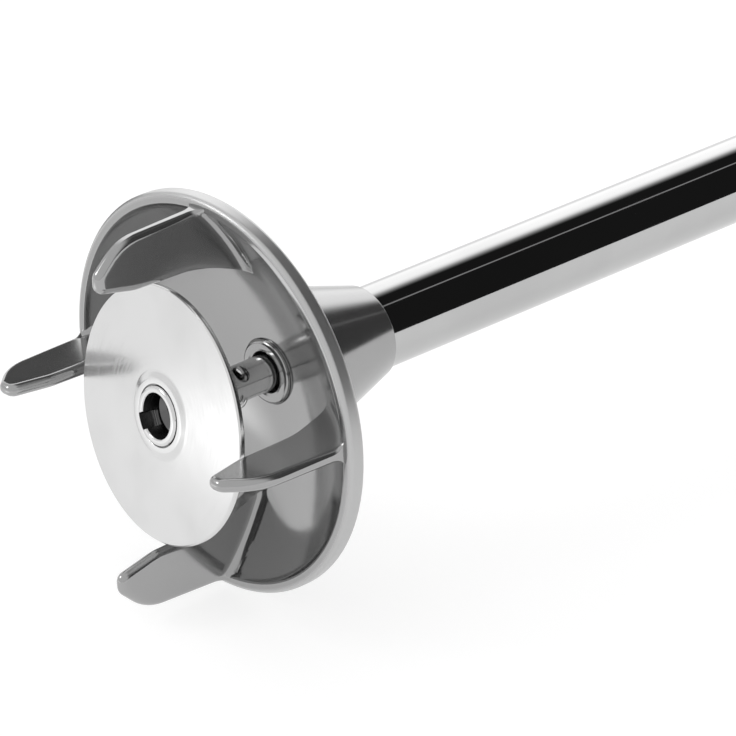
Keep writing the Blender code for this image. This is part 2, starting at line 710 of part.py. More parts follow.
HOUSING_STATIONS = (  # x, half width, half height and corner radius of the shells
    (SHELL_X, 46.5 * MM, 46.5 * MM, 34 * MM),
    (360 * MM, SHELL_HALF, SHELL_HALF, 24 * MM),
    (516 * MM, SHELL_HALF, SHELL_HALF, 24 * MM),
    (528 * MM, 45 * MM, 45 * MM, 26 * MM),
    (546 * MM, 29 * MM, 28 * MM, 21 * MM),
    (558 * MM, 24.5 * MM, 23 * MM, 18 * MM),
    (626 * MM, 24 * MM, 22.5 * MM, 18 * MM),
    (SHELL_END_X, 27 * MM, 25.5 * MM, 20 * MM),
)


def housing_at(x):
    """Half width, half height and corner radius of the housing at x."""
    for first, second in zip(HOUSING_STATIONS, HOUSING_STATIONS[1:]):
        if first[0] <= x <= second[0]:
            blend = (x - first[0]) / (second[0] - first[0])
            return Vector(first[1:]).lerp(Vector(second[1:]), blend)
    raise ValueError(f"no housing at x = {x}")


def shell_section(x, side, wall=SHELL_WALL):
    """Half of the housing's wall, on the side of +Y or -Y, as a closed C."""
    half_y, half_z, corner = housing_at(x)
    inner_corner = corner - wall
    steps = 4
    outer = rounded([(GAP / 2, half_z), (half_y, half_z, corner), (half_y, -half_z, corner),
                     (GAP / 2, -half_z)], closed=False, steps=steps)
    half_y, half_z = half_y - wall, half_z - wall
    inner = rounded([(GAP / 2, half_z), (half_y, half_z, inner_corner), (half_y, -half_z, inner_corner),
                     (GAP / 2, -half_z)], closed=False, steps=steps)
    return [(side * y, z) for y, z in outer + inner[::-1]]


def wall_y(x, z):
    """How far out the middle of the housing's side wall stands at this x and z."""
    half_y, half_z, corner = housing_at(x)
    into_corner = max(0.0, abs(z) - (half_z - corner))
    return half_y - corner + math.sqrt(corner**2 - into_corner**2) - SHELL_WALL / 2


def across(x, z):
    """Lay a piece that runs along X across the housing along Y, at this x and z."""
    return Matrix.Translation((x, 0, z)) @ Matrix.Rotation(math.pi / 2, 4, "Z")


def rods_across(ys_at, radius, segments=12):
    """One rod along Y at each screw, between the two y that ys_at(x, z) gives."""
    bm = bmesh.new()
    for x, z in SCREW_PLACES:
        rod = rod_mesh(ys_at(x, z), radius, segments)
        bmesh.ops.transform(rod, matrix=across(x, z), verts=rod.verts)
        add_to(bm, rod)
    return bm


def vent_mesh():
    """Slots through both sides of the housing, in two groups."""
    pitch = 8 * MM
    xs = [384 * MM + pitch * index for index in range(5)] + [449 * MM + pitch * index for index in range(4)]
    return repeated_mesh(
        lambda: box_mesh((-1.6 * MM, -60 * MM, -17 * MM), (1.6 * MM, 60 * MM, 17 * MM)),
        [Matrix.Translation((x, 0, 0)) for x in xs],
    )


def make_shells(motor):
    boss = 4.6 * MM
    bosses = {
        "left": rods_across(lambda x, z: (GAP / 2, wall_y(x, abs(z) + boss)), boss),
        "right": rods_across(lambda x, z: (-wall_y(x, abs(z) + boss), -GAP / 2), boss),
    }
    vents = helper("vents", vent_mesh(), motor)
    trigger_slot = helper(
        "trigger_slot",
        box_mesh((TRIGGER_X - 4.4 * MM, -TRIGGER_HALF_WIDTH - 0.5 * MM, 16 * MM),
                 (TRIGGER_X + TRIGGER_LENGTH + 0.8 * MM, TRIGGER_HALF_WIDTH + 0.5 * MM, 40 * MM)),
        motor,
    )
    dial_hole = rod_mesh((40 * MM, 60 * MM), 3.6 * MM, segments=16)
    bmesh.ops.transform(dial_hole, matrix=upright(DIAL_X, 0), verts=dial_hole.verts)
    dial_hole = helper("dial_hole", dial_hole, motor)
    pin_seat = rod_mesh((-TRIGGER_PIN_HALF - GAP, TRIGGER_PIN_HALF + GAP), 1.8 * MM, segments=14)
    bmesh.ops.transform(pin_seat, matrix=across(TRIGGER_X, TRIGGER_Z), verts=pin_seat.verts)
    pin_seat = helper("trigger_pin_seat", pin_seat, motor)
    front_end = SHELL_X + SHELL_FRONT_DEPTH
    for name, side in (("left", 1), ("right", -1)):
        stations = [(x, shell_section(x, side, SHELL_FRONT_WALL)) for x in (SHELL_X, front_end)]
        stations.append((front_end + GAP, shell_section(front_end + GAP, side)))
        stations += [(station[0], shell_section(station[0], side)) for station in HOUSING_STATIONS[1:]]
        shell = add_object(f"housing_shell_{name}", loft_mesh(stations), GREY_PLASTIC, motor)
        join(shell, helper(f"bosses_{name}", bosses[name], motor))
        cut(shell, vents, trigger_slot, dial_hole, pin_seat)
    right = bpy.data.objects["housing_shell_right"]
    left = bpy.data.objects["housing_shell_left"]
    cut(left, helper("screw_pilots", rods_across(lambda x, z: (-MM, 11 * MM), 1.5 * MM, 8), motor))
    cut(right, helper("screw_clearances", rods_across(lambda x, z: (-12 * MM, MM), 1.8 * MM, 8), motor))
    cut(right, helper("screw_wells", rods_across(lambda x, z: (-60 * MM, -8 * MM), 3.3 * MM, 10), motor))
    button_hole = rod_mesh((-30 * MM, -15 * MM), 5.9 * MM, segments=24)
    bmesh.ops.transform(button_hole, matrix=across(BUTTON_X, BUTTON_Z), verts=button_hole.verts)
    cut(right, helper("button_hole", button_hole, motor))


def make_shell_screws(motor):
    outline = [(-10.4 * MM, 0), (-10.4 * MM, 2.9 * MM), (-8.3 * MM, 2.9 * MM), (-8.3 * MM, 1.2 * MM),
               (9.5 * MM, 1.2 * MM), (10.5 * MM, 0)]
    for index, (x, z) in enumerate(SCREW_PLACES, start=1):
        bm = turned_mesh(outline, 12)
        bmesh.ops.transform(bm, matrix=across(x, z), verts=bm.verts)
        add_object(f"shell_screw_{index}", bm, STEEL, motor)


def make_bumpers(motor):
    """Rubber bands round the housing. Their flat undersides keep the blender from rolling."""
    for name, start in zip(("front", "rear"), BUMPER_XS):
        inner_half = SHELL_HALF + GAP
        inner_corner = 24 * MM
        end = start + BUMPER_WIDTH
        outer = section(BUMPER_HALF, BUMPER_HALF, 25 * MM)
        eased = section(BUMPER_HALF - 0.6 * MM, BUMPER_HALF - 0.6 * MM, 24.5 * MM)
        band = [(start, eased), (start + 0.8 * MM, outer), (end - 0.8 * MM, outer), (end, eased)]
        body = add_object(f"{name}_bumper", loft_mesh(band), RUBBER, motor)
        hole = section(inner_half, inner_half, inner_corner)
        cut(body, helper(f"{name}_bumper_hole", loft_mesh([(start - MM, hole), (end + MM, hole)]), motor))


def make_end_cap(motor):
    face = section(27 * MM, 25.5 * MM, 20 * MM)
    domed = section(23 * MM, 21.5 * MM, 17 * MM)
    plug = section(22.4 * MM, 20.9 * MM, 16.0 * MM)
    start = SHELL_END_X + GAP
    cap = add_object("end_cap", loft_mesh([(start, face), (start + 4 * MM, face), (start + 7.5 * MM, domed)]),
                     DARK_PLASTIC, motor)
    join(cap, helper("end_cap_plug", loft_mesh([(start - 6 * MM, plug), (start + MM, plug)]), motor))
    cut(cap, helper("gland_seat", rod_mesh((start - 10 * MM, start + 12 * MM), 7.4 * MM), motor))
    gland = [
        (start - 4 * MM, 4.2 * MM),
        (start - 4 * MM, 7.1 * MM),
        (start + 7.8 * MM, 7.1 * MM),
        (start + 7.8 * MM, 10.0 * MM, MM),
        (start + 12 * MM, 10.0 * MM, MM),
        (GLAND_END_X, 7.4 * MM, MM),
        (GLAND_END_X, 4.2 * MM),
    ]
    turned("cord_gland", rounded(gland, steps=1), RUBBER, motor, segments=20)


# ---------------------------------------------------------------- controls


def make_switch(motor):
    body = box("trigger_switch", (TRIGGER_X + 6 * MM, -7 * MM, -9 * MM),
               (TRIGGER_X + 38 * MM, 7 * MM, 9 * MM), DARK_PLASTIC, motor, bevel=0.8 * MM)
    well = rod_mesh((2 * MM, 12 * MM), 2.9 * MM, segments=16)
    bmesh.ops.transform(well, matrix=upright(PLUNGER_X, 0), verts=well.verts)
    cut(body, helper("plunger_well", well, motor))


def make_switch_plunger(plunger):
    """Its origin is on the axis of the drive, under the place where the trigger presses it."""
    bm = rod_mesh((6 * MM, 15.0 * MM), 2.5 * MM, segments=16)
    bmesh.ops.transform(bm, matrix=upright(0, 0), verts=bm.verts)
    add_object("switch_plunger", bm, GREY_PLASTIC, plunger)


def make_trigger(trigger, motor):
    """A paddle whose origin is its pivot at the front, and the pin that it turns on."""
    length = TRIGGER_LENGTH
    side = [
        (-3.6 * MM, -2.6 * MM, MM),
        (-3.6 * MM, 2.6 * MM, 1.5 * MM),
        (6.0 * MM, 8.0 * MM, 6.0 * MM),
        (length - 6 * MM, 10.5 * MM, 5.0 * MM),
        (length, 6.0 * MM, 2.0 * MM),
        (length, -2.6 * MM, MM),
        (PLUNGER_X - TRIGGER_X + 4 * MM, -4.2 * MM),
        (PLUNGER_X - TRIGGER_X - 4 * MM, -4.2 * MM),
        (PLUNGER_X - TRIGGER_X - 6 * MM, -2.6 * MM),
    ]
    blank = prism_mesh(rounded(side, steps=2), TRIGGER_HALF_WIDTH, bevel=1.2 * MM, steps=1)
    paddle = add_object("trigger", blank, RED_PLASTIC, trigger)
    hole = rod_mesh((-12 * MM, 12 * MM), 1.8 * MM, segments=14)
    bmesh.ops.transform(hole, matrix=across(0, 0), verts=hole.verts)
    cut(paddle, helper("trigger_pin_hole", hole, trigger))
    pin = rod_mesh((-TRIGGER_PIN_HALF, TRIGGER_PIN_HALF), 1.5 * MM, segments=14)
    bmesh.ops.transform(pin, matrix=across(TRIGGER_X, TRIGGER_Z), verts=pin.verts)
    add_object("trigger_pin", pin, STEEL, motor)


def make_lock_button(button):
    """Runs along Y through the right shell, with a flange that keeps it in."""
    outline = [
        (-27.0 * MM, 0),
        (-27.0 * MM, 5.5 * MM, 1.2 * MM),
        (-20.6 * MM, 5.5 * MM),
        (-20.6 * MM, 7.5 * MM),
        (-18.8 * MM, 7.5 * MM),
        (-18.8 * MM, 3.0 * MM),
        (-11.0 * MM, 3.0 * MM),
        (-11.0 * MM, 0),
    ]
    bm = turned_mesh(rounded(outline, closed=False, steps=2), 24)
    bmesh.ops.transform(bm, matrix=across(0, 0), verts=bm.verts)
    add_object("lock_button", bm, DARK_PLASTIC, button)


def make_speed_dial(dial):
    """A fluted knob on top of the housing, turning about Z."""
    foot = SHELL_HALF + GAP
    outline = [
        (41.0 * MM, 0),
        (41.0 * MM, 2.8 * MM),
        (foot, 2.8 * MM),
        (foot, 11.5 * MM, 0.5 * MM),
        (foot + 6.5 * MM, 10.5 * MM, 1.2 * MM),
        (foot + 6.5 * MM, 0),
    ]
    bm = turned_mesh(rounded(outline, closed=False, steps=1), 24)
    bmesh.ops.transform(bm, matrix=upright(0, 0), verts=bm.verts)
    knob = add_object("speed_dial", bm, DARK_PLASTIC, dial)
    mark = box_mesh((2 * MM, -0.6 * MM, foot + 6.0 * MM), (9 * MM, 0.6 * MM, foot + 8 * MM))
    cut(knob, helper("dial_mark", mark, dial))


def main():
    clear_scene()
    origin = Vector((RIM_WORLD_X, 0, AXIS_HEIGHT))
    motor = pivot("motor_unit_frame", origin)
    foot = pivot("foot_frame", origin)
    drive = pivot("drive_axis", origin)
    armature = pivot("armature_axis", origin)
    collar = pivot("collar_axis", origin)
    dial = pivot("dial_axis", origin + Vector((DIAL_X, 0, 0)))
    trigger = pivot("trigger_axis", origin + Vector((TRIGGER_X, 0, TRIGGER_Z)))
    plunger = pivot("plunger_axis", origin + Vector((PLUNGER_X, 0, 0)))
    button = pivot("button_axis", origin + Vector((BUTTON_X, 0, BUTTON_Z)))

    make_guard_bell(foot)
    make_foot_bearings(foot)
    make_outer_tube(foot)
    make_foot_fitting(foot)
    make_lock_collar(collar)

    make_drive_shaft(drive)
    make_cross_pin(drive)
    make_mixing_disc(drive)
    make_disc_hub(drive)
    make_pin_clip(drive)
    make_shaft_coupling(drive)

    make_motor_coupling(armature)
    make_motor_shaft(armature)
    make_cooling_fan(armature)
    make_armature(armature)

    make_stator(motor)
    make_bearings(motor)
    make_rear_bracket(motor)
    make_brushes(motor)
    make_electronics(motor)
    make_motor_nose(motor)
    make_shells(motor)
    make_shell_screws(motor)
    make_bumpers(motor)
    make_end_cap(motor)
    make_switch(motor)
    make_switch_plunger(plunger)
    make_trigger(trigger, motor)
    make_lock_button(button)
    make_speed_dial(dial)


main()
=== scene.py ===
"""Looks of the immersion blender: fine surfaces, materials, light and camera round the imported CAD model.

Pieces on the drive axis are made in the axis frame: x is the distance behind the middle of the guard's rim,
y and z are measured from the axis, and r is the distance from it. Angles round the axis run from +Z to -Y.
"""

import json
import math

import bmesh
import bpy
from mathutils import Matrix, Vector


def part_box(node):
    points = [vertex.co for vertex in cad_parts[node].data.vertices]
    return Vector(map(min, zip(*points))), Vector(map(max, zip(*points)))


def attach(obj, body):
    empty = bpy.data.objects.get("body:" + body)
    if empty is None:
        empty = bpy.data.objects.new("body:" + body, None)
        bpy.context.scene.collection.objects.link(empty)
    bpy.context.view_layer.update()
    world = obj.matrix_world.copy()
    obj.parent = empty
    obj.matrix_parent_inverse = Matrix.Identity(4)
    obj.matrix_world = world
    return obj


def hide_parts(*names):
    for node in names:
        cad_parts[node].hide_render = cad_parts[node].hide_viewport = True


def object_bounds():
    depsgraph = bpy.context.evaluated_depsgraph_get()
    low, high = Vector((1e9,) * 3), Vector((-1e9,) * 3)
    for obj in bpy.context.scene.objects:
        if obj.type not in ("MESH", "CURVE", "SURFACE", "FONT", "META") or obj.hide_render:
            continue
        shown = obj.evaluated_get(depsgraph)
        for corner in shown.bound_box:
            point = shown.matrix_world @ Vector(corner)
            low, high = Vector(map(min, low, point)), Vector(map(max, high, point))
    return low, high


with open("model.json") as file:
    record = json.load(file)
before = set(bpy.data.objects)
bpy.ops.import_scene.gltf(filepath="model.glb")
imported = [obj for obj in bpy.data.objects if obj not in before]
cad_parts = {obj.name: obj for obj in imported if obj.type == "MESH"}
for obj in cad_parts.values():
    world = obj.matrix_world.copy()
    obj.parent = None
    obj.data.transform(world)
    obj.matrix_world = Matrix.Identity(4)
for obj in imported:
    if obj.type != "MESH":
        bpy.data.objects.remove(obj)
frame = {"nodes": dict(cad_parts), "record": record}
CAD_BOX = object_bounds()

MM = 0.001
GAP = 0.3 * MM
SHARP_ANGLE = math.radians(32)

# Guard bell
CONE_END_X = 48.8 * MM
RIM_RADIUS = 52.5 * MM
RIM_THICKNESS = 5.0 * MM
DISH_RADIUS = 75.5 * MM
DISH_CENTRE_X = -58.5 * MM
DISH_WALL = 3.5 * MM
FIN_COUNT = 4
FIN_START_ANGLE = math.radians(-4.5)
FIN_HALF_THICKNESS = 1.7 * MM
FIN_EDGE_RADIUS = 1.7 * MM
FIN_ROOT_FILLET = 3.0 * MM
FIN_TIP_X = -35.6 * MM
FIN_TIP_R = 40.8 * MM

# Foot and drive
TUBE_RADIUS = 11.0 * MM
SHAFT_RADIUS = 4.75 * MM
SPIGOT_RADIUS = 3.5 * MM
SHAFT_STEP_X = 17.6 * MM
DISC_X = -18.6 * MM
DISC_RADIUS = 33.1 * MM
DISC_THICKNESS = 1.6 * MM
DISC_TILT = math.radians(8.2)
DISC_TILT_ANGLE = math.radians(-32.4)
HUB_RADIUS = 7.7 * MM
HUB_BORE = 5.8 * MM
KEYWAY_ANGLE = math.radians(237.5)
PIN_X = 5.8 * MM
PIN_RADIUS = 1.3 * MM
PIN_BALL = 1.85 * MM
PIN_REACH = 5.9 * MM
PIN_ANGLE = math.radians(24)
WINDOW_ANGLE = math.radians(35)
CLIP_X = PIN_X - 1.2 * MM
CLIP_ANGLE = math.radians(-8)

# Motor unit
SHELL_WALL = 3.0 * MM
SHELL_FRONT_WALL = 7.0 * MM  # closes the shells' corners behind the round nose
SHELL_FRONT_DEPTH = 2.0 * MM
SHELL_BLEND = 4.0 * MM  # either side of a station, where its corner is rounded off
SEAM_EASE = 0.35 * MM
BUMPER_WIDTH = 14.0 * MM
VENT_PITCH = 8.0 * MM
VENT_GROUPS = ((384 * MM, 5), (449 * MM, 4))  # x of the first slot, and how many
TRIGGER_HALF_WIDTH = 7.5 * MM
TRIGGER_LENGTH = 42.0 * MM
TRIGGER_X = 560.0 * MM
TRIGGER_Z = 19.5 * MM
PLUNGER_REACH = 30.0 * MM  # of the switch's plunger from the trigger's pivot
DIAL_X = 476.0 * MM
BUTTON_X = 578.0 * MM
BUTTON_Z = 2.0 * MM
SHELL_X = 352.0 * MM
SHELL_HALF = 50.5 * MM
SHELL_END_X = 640.0 * MM
HOUSING_STATIONS = (  # x, half width, half height and corner radius of the shells
    (SHELL_X, 46.5 * MM, 46.5 * MM, 34 * MM),
    (360 * MM, SHELL_HALF, SHELL_HALF, 24 * MM),
    (516 * MM, SHELL_HALF, SHELL_HALF, 24 * MM),
    (528 * MM, 45 * MM, 45 * MM, 26 * MM),
    (546 * MM, 29 * MM, 28 * MM, 21 * MM),
    (558 * MM, 24.5 * MM, 23 * MM, 18 * MM),
    (626 * MM, 24 * MM, 22.5 * MM, 18 * MM),
    (SHELL_END_X, 27 * MM, 25.5 * MM, 20 * MM),
)
SCREW_PLACES = (
    (378.0 * MM, 41.0 * MM),
    (378.0 * MM, -41.0 * MM),
    (515.0 * MM, 34.0 * MM),
    (515.0 * MM, -34.0 * MM),
    (610.0 * MM, -3.0 * MM),
)

# Camera: where it looks from, and what it looks at beside the middle of the guard's rim
VIEW_AZIMUTH = math.radians(-41.81)
VIEW_ELEVATION = math.radians(27.77)
VIEW_DISTANCE = 1.2406
VIEW_RIGHT = 37.3 * MM
VIEW_UP = 5.9 * MM
LENS = 244.6
SENSOR = 36.0

# Studio: brightness, and what the steel mirrors
FLOOR_GLOW = 0.76
POOL_GLOW = 1.6  # of a patch of floor that the disc mirrors
ROOM_LEVEL = 0.9
SEEN_LEVEL = 0.93  # of the plain background, as the camera sees it
MOTOR_END = (0.22, 2.0, 0.18)  # x of the directions towards the motor unit: start, end and soft edge
HEAD_END = (-0.68, -0.48, 0.06)
STUDIO_BANDS = (  # degrees round the X axis from +Y to +Z, soft edge in radians, reach along x, brightness
    (4, 56, 0.22, MOTOR_END, 1.8),  # panel behind the blender
    (64, 230, 0.2, MOTOR_END, 0.015),  # dark stretch above it
    (101, 104, 0.012, MOTOR_END, 0.4),  # thin strip in the dark stretch
    (34, 52, 0.06, HEAD_END, 7.0),  # small bright spot for the sparkle on the head's edges
)

bell_low, bell_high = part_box("guard_bell")
AXIS = Vector((bell_high.x - CONE_END_X, (bell_low.y + bell_high.y) / 2, (bell_low.z + bell_high.z) / 2))


# ---------------------------------------------------------------- shapes


def mm(*values):
    """A corner or a place that is given in millimetres."""
    return tuple(value * MM for value in values)


def rounded(corners, closed=True, steps=8):
    """The outline through the corners, each (u, v) or (u, v, radius) for an arc of that radius."""
    outline = []
    count = len(corners)
    for index, corner in enumerate(corners):
        here = Vector(corner[:2])
        at_end = not closed and index in (0, count - 1)
        if len(corner) == 2 or at_end:
            outline.append(here)
            continue
        before = (Vector(corners[index - 1][:2]) - here).normalized()
        after = (Vector(corners[(index + 1) % count][:2]) - here).normalized()
        half_angle = before.angle(after) / 2
        radius = corner[2]
        reach = radius / math.tan(half_angle)
        centre = here + (before + after).normalized() * radius / math.sin(half_angle)
        first = here + before * reach - centre
        last = here + after * reach - centre
        for step in range(steps + 1):
            blend = first.lerp(last, step / steps).normalized()
            outline.append(centre + blend * radius)
    return outline


def turned_mesh(outline, segments=128):
    """A body turned about the X axis from (x, r) points: a ring if none is on the axis, else solid."""
    bm = bmesh.new()
    on_axis = min(point[1] for point in outline) <= 0
    corners = [bm.verts.new((point[0], 0, point[1])) for point in outline]
    edges = [bm.edges.new(pair) for pair in zip(corners, corners[1:])]
    if not on_axis:
        edges.append(bm.edges.new((corners[-1], corners[0])))
    bmesh.ops.spin(
        bm,
        geom=corners + edges,
        cent=(0, 0, 0),
        axis=(1, 0, 0),
        angle=math.tau,
        steps=segments,
        use_merge=True,
    )
    bmesh.ops.remove_doubles(bm, verts=bm.verts, dist=0.001 * MM)
    return bm


def rod_mesh(xs, radius, segments=48, edge=0.0):
    start, end = xs
    ease = (edge,) if edge else ()
    corners = [(start, 0), (start, radius, *ease), (end, radius, *ease), (end, 0)]
    return turned_mesh(rounded(corners, closed=False, steps=4), segments)


def box_mesh(low, high, bevel=0.0):
    low, high = Vector(low), Vector(high)
    bm = bmesh.new()
    place = Matrix.Translation((low + high) / 2) @ Matrix.Diagonal((*(high - low), 1))
    bmesh.ops.create_cube(bm, size=1, matrix=place)
    if bevel:
        bmesh.ops.bevel(bm, geom=bm.edges[:], offset=bevel, segments=3, profile=0.5, affect="EDGES")
    return bm


def add_to(bm, other):
    """Put a copy of the other bmesh into bm, and free it."""
    mesh = bpy.data.meshes.new("scratch")
    other.to_mesh(mesh)
    other.free()
    bm.from_mesh(mesh)
    bpy.data.meshes.remove(mesh)


def repeated_mesh(make, placements):
    """One bmesh with a copy of make() for each placement matrix."""
    bm = bmesh.new()
    for placement in placements:
        add_to(bm, placed(make(), placement))
    return bm


def placed(bm, matrix):
    bmesh.ops.transform(bm, matrix=matrix, verts=bm.verts)
    return bm


def about_axis(angle):
    """Turn about the drive axis, from +Z to -Y."""
    return Matrix.Rotation(angle, 4, "X")


def evenly_round(count):
    return [about_axis(math.tau * index / count) for index in range(count)]


def upright(x, y):
    """Stand a piece that runs along X up along Z, at this x and y."""
    return Matrix.Translation((x, y, 0)) @ Matrix.Rotation(-math.pi / 2, 4, "Y")


def across(x, z):
    """Lay a piece that runs along X across the housing along Y, at this x and z."""
    return Matrix.Translation((x, 0, z)) @ Matrix.Rotation(math.pi / 2, 4, "Z")


def prism_mesh(outline, half_thickness, bevel=0.0):
    """An (x, z) outline given thickness along Y, with its two rims rounded by bevel."""
    bm = bmesh.new()
    verts = [bm.verts.new((point[0], -half_thickness, point[1])) for point in outline]
    face = bm.faces.new(verts)
    moved = bmesh.ops.extrude_face_region(bm, geom=[face])["geom"]
    lifted = [item for item in moved if isinstance(item, bmesh.types.BMVert)]
    bmesh.ops.translate(bm, verts=lifted, vec=(0, 2 * half_thickness, 0))
    if bevel:
        rims = [edge for edge in bm.edges if edge.verts[0].co.y == edge.verts[1].co.y]
        bmesh.ops.bevel(bm, geom=rims, offset=bevel, segments=4, profile=0.5, affect="EDGES")
    return bm


def section(half_y, half_z, corner, steps=14):
    """A rounded rectangle round the axis, as (y, z) points."""
    corners = [(half_y, half_z), (half_y, -half_z), (-half_y, -half_z), (-half_y, half_z)]
    return rounded([(*point, corner) for point in corners], steps=steps)


def skin(bm, loops):
    """Bridge the loops of vertices, and close the first and the last."""
    for first, second in zip(loops, loops[1:]):
        for index in range(len(first)):
            after = (index + 1) % len(first)
            bm.faces.new((first[index], first[after], second[after], second[index]))
    bm.faces.new(loops[0])
    bm.faces.new(loops[-1])


def loft_mesh(stations):
    """A body through the sections, each (x, loop)."""
    bm = bmesh.new()
    skin(bm, [[bm.verts.new((x, y, z)) for y, z in loop] for x, loop in stations])
    return bm


def new_object(name, bm, finish, location):
    """An object of the bmesh, which is freed."""
    mesh = bpy.data.meshes.new(name)
    bm.to_mesh(mesh)
    bm.free()
    mesh.materials.append(finish)
    obj = bpy.data.objects.new(name, mesh)
    obj.location = location
    bpy.context.scene.collection.objects.link(obj)
    return obj


def axis_object(name, bm, finish):
    """An object of the bmesh in the axis frame, facing out."""
    bmesh.ops.recalc_face_normals(bm, faces=bm.faces)
    return new_object(name, bm, finish, AXIS)


def smooth(obj):
    """Smooth shading up to an angle between two faces, and a sharp edge beyond it."""
    obj.data.shade_smooth()
    obj.data.set_sharp_from_angle(angle=SHARP_ANGLE)


def combine(target, bm, operation):
    """Cut the bmesh from target, or join it on, at once."""
    other = axis_object("tool", bm, target.data.materials[0])
    modifier = target.modifiers.new(operation, "BOOLEAN")
    modifier.operation = operation
    modifier.object = other
    modifier.solver = "EXACT"
    bpy.context.view_layer.update()
    graph = bpy.context.evaluated_depsgraph_get()
    made = bpy.data.meshes.new_from_object(target.evaluated_get(graph))
    target.modifiers.clear()
    old, target.data = target.data, made
    bpy.data.meshes.remove(old)
    tool_mesh = other.data
    bpy.data.objects.remove(other)
    bpy.data.meshes.remove(tool_mesh)


def piece(name, bm, finish, node, body, cuts=(), joins=()):
    """A shown piece that stands for a CAD node and rides on its body."""
    obj = axis_object(name, bm, finish)
    for joined in joins:
        combine(obj, joined, "UNION")
    for cutter in cuts:
        combine(obj, cutter, "DIFFERENCE")
    smooth(obj)
    if cuts or joins:
        evened = obj.modifiers.new("evened_normals", "WEIGHTED_NORMAL")
        evened.keep_sharp = True
        evened.weight = 100
    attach(obj, body)
    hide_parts(node)
    return obj


# ---------------------------------------------------------------- materials


def grey(level):
    return (level, level, level)


def add_node(tree, kind, **inputs):
    """A new shader node with these inputs set or linked. In their names _ stands for a space."""
    node = tree.nodes.new(f"ShaderNode{kind}")
    for name, value in inputs.items():
        socket = node.inputs[name.replace("_", " ")]
        if isinstance(value, bpy.types.NodeSocket):
            tree.links.new(value, socket)
        else:
            socket.default_value = value
    return node


def computed(tree, operation, *values):
    """The result of a Math node on these outputs."""
    node = add_node(tree, "Math")
    node.operation = operation
    for socket, value in zip(node.inputs, values):
        tree.links.new(value, socket)
    return node.outputs["Value"]


def blended(tree, factor, first, second):
    """The first colour where the factor is 0 and the second where it is 1, each a colour or an output."""
    mix = add_node(tree, "Mix")
    mix.data_type = "RGBA"
    tree.links.new(factor, mix.inputs["Factor"])
    for name, colour in (("A", first), ("B", second)):
        if isinstance(colour, tuple):
            mix.inputs[name].default_value = (*colour, 1.0)
        else:
            tree.links.new(colour, mix.inputs[name])
    return mix.outputs["Result"]


class Look:
    """A Principled material with short ways to add procedural nodes."""

    def __init__(self, name, colour, roughness, metallic=0.0):
        self.material = bpy.data.materials.new(name)
        self.material.use_nodes = True
        self.tree = self.material.node_tree
        self.shader = self.tree.nodes["Principled BSDF"]
        self.colour = colour
        self.roughness = roughness
        self.shader.inputs["Base Color"].default_value = (*colour, 1.0)
        self.shader.inputs["Roughness"].default_value = roughness
        self.shader.inputs["Metallic"].default_value = metallic
        self.place = self.add("TexCoord").outputs["Object"]
        self.bump = None

    def add(self, kind, **inputs):
        return add_node(self.tree, kind, **inputs)

    def link(self, output, name):
        """Lead the output to an input of the shader."""
        self.tree.links.new(output, self.shader.inputs[name])
        return self

    def stretched(self, scale):
        return self.add("Mapping", Scale=scale, Vector=self.place).outputs["Vector"]

    def noise(self, scale, detail=4.0, stretch=(1, 1, 1), distortion=0.0):
        where = self.stretched(stretch)
        made = self.add("TexNoise", Scale=scale, Detail=detail, Distortion=distortion, Vector=where)
        return made.outputs["Fac"]

    def radius(self):
        """The distance from the drive axis."""
        measured = self.add("VectorMath")
        measured.operation = "LENGTH"
        self.tree.links.new(self.stretched((0, 1, 1)), measured.inputs[0])
        return measured.outputs["Value"]

    def turned_marks(self, scale, detail=3.0):
        """Noise that depends only on x and the distance from the axis, like the marks of a lathe."""
        split = self.add("SeparateXYZ", Vector=self.place)
        where = self.add("CombineXYZ", X=split.outputs["X"], Y=self.radius())
        return self.add("TexNoise", Scale=scale, Detail=detail, Vector=where.outputs["Vector"]).outputs["Fac"]

    def ridges(self, direction, distortion=0.0):
        """Fine ridges side by side along X or Z, like sheets or wires."""
        made = self.add("TexWave", Scale=320.0, Distortion=distortion, Vector=self.place)
        made.bands_direction = direction
        return made.outputs["Fac"]

    def ranged(self, value, low, high, start=0.3, end=0.7):
        """From low where the value is start to high where it is end."""
        made = self.add("MapRange", From_Min=start, From_Max=end, To_Min=low, To_Max=high, Value=value)
        return made.outputs["Result"]

    def vary_roughness(self, value, spread):
        varied = self.ranged(value, self.roughness - spread, self.roughness + spread)
        return self.link(varied, "Roughness")

    def vary_colour(self, value, other, start=0.3, end=0.7):
        """Blend towards the other colour where value is high."""
        share = self.ranged(value, 0.0, 1.0, start, end)
        return self.link(blended(self.tree, share, self.colour, other), "Base Color")

    def add_bump(self, height, depth, strength=1.0):
        """Bump of this depth in metres, on top of any bump that is there."""
        bump = self.add("Bump", Strength=strength, Distance=depth, Height=height)
        if self.bump:
            self.tree.links.new(self.bump, bump.inputs["Normal"])
        self.bump = bump.outputs["Normal"]
        return self.link(self.bump, "Normal")


def guard_steel():
    """Polished casting, brushed along the outside of its rim, where its colour is also lighter as a painted
    sheen.
    """
    look = Look("guard_steel", grey(0.37), 0.14, 0.87)
    rim_sheen_and_brush_span = (RIM_RADIUS - 1.6 * MM, RIM_RADIUS - 0.6 * MM)
    # The rim's outer band gets a lighter steel colour, a painted sheen. The roughness below is its real
    # brushing.
    look.vary_colour(look.radius(), grey(0.50), *rim_sheen_and_brush_span)
    rim = look.ranged(look.radius(), 0.0, 0.24, *rim_sheen_and_brush_span)
    base = look.ranged(look.noise(60, 6), 0.10, 0.16)
    look.link(computed(look.tree, "ADD", rim, base), "Roughness")
    look.add_bump(look.noise(45, 2), 0.03 * MM, 0.35)
    return look.add_bump(look.noise(900, 4, (0.25, 1, 1)), 0.002 * MM, 0.5)


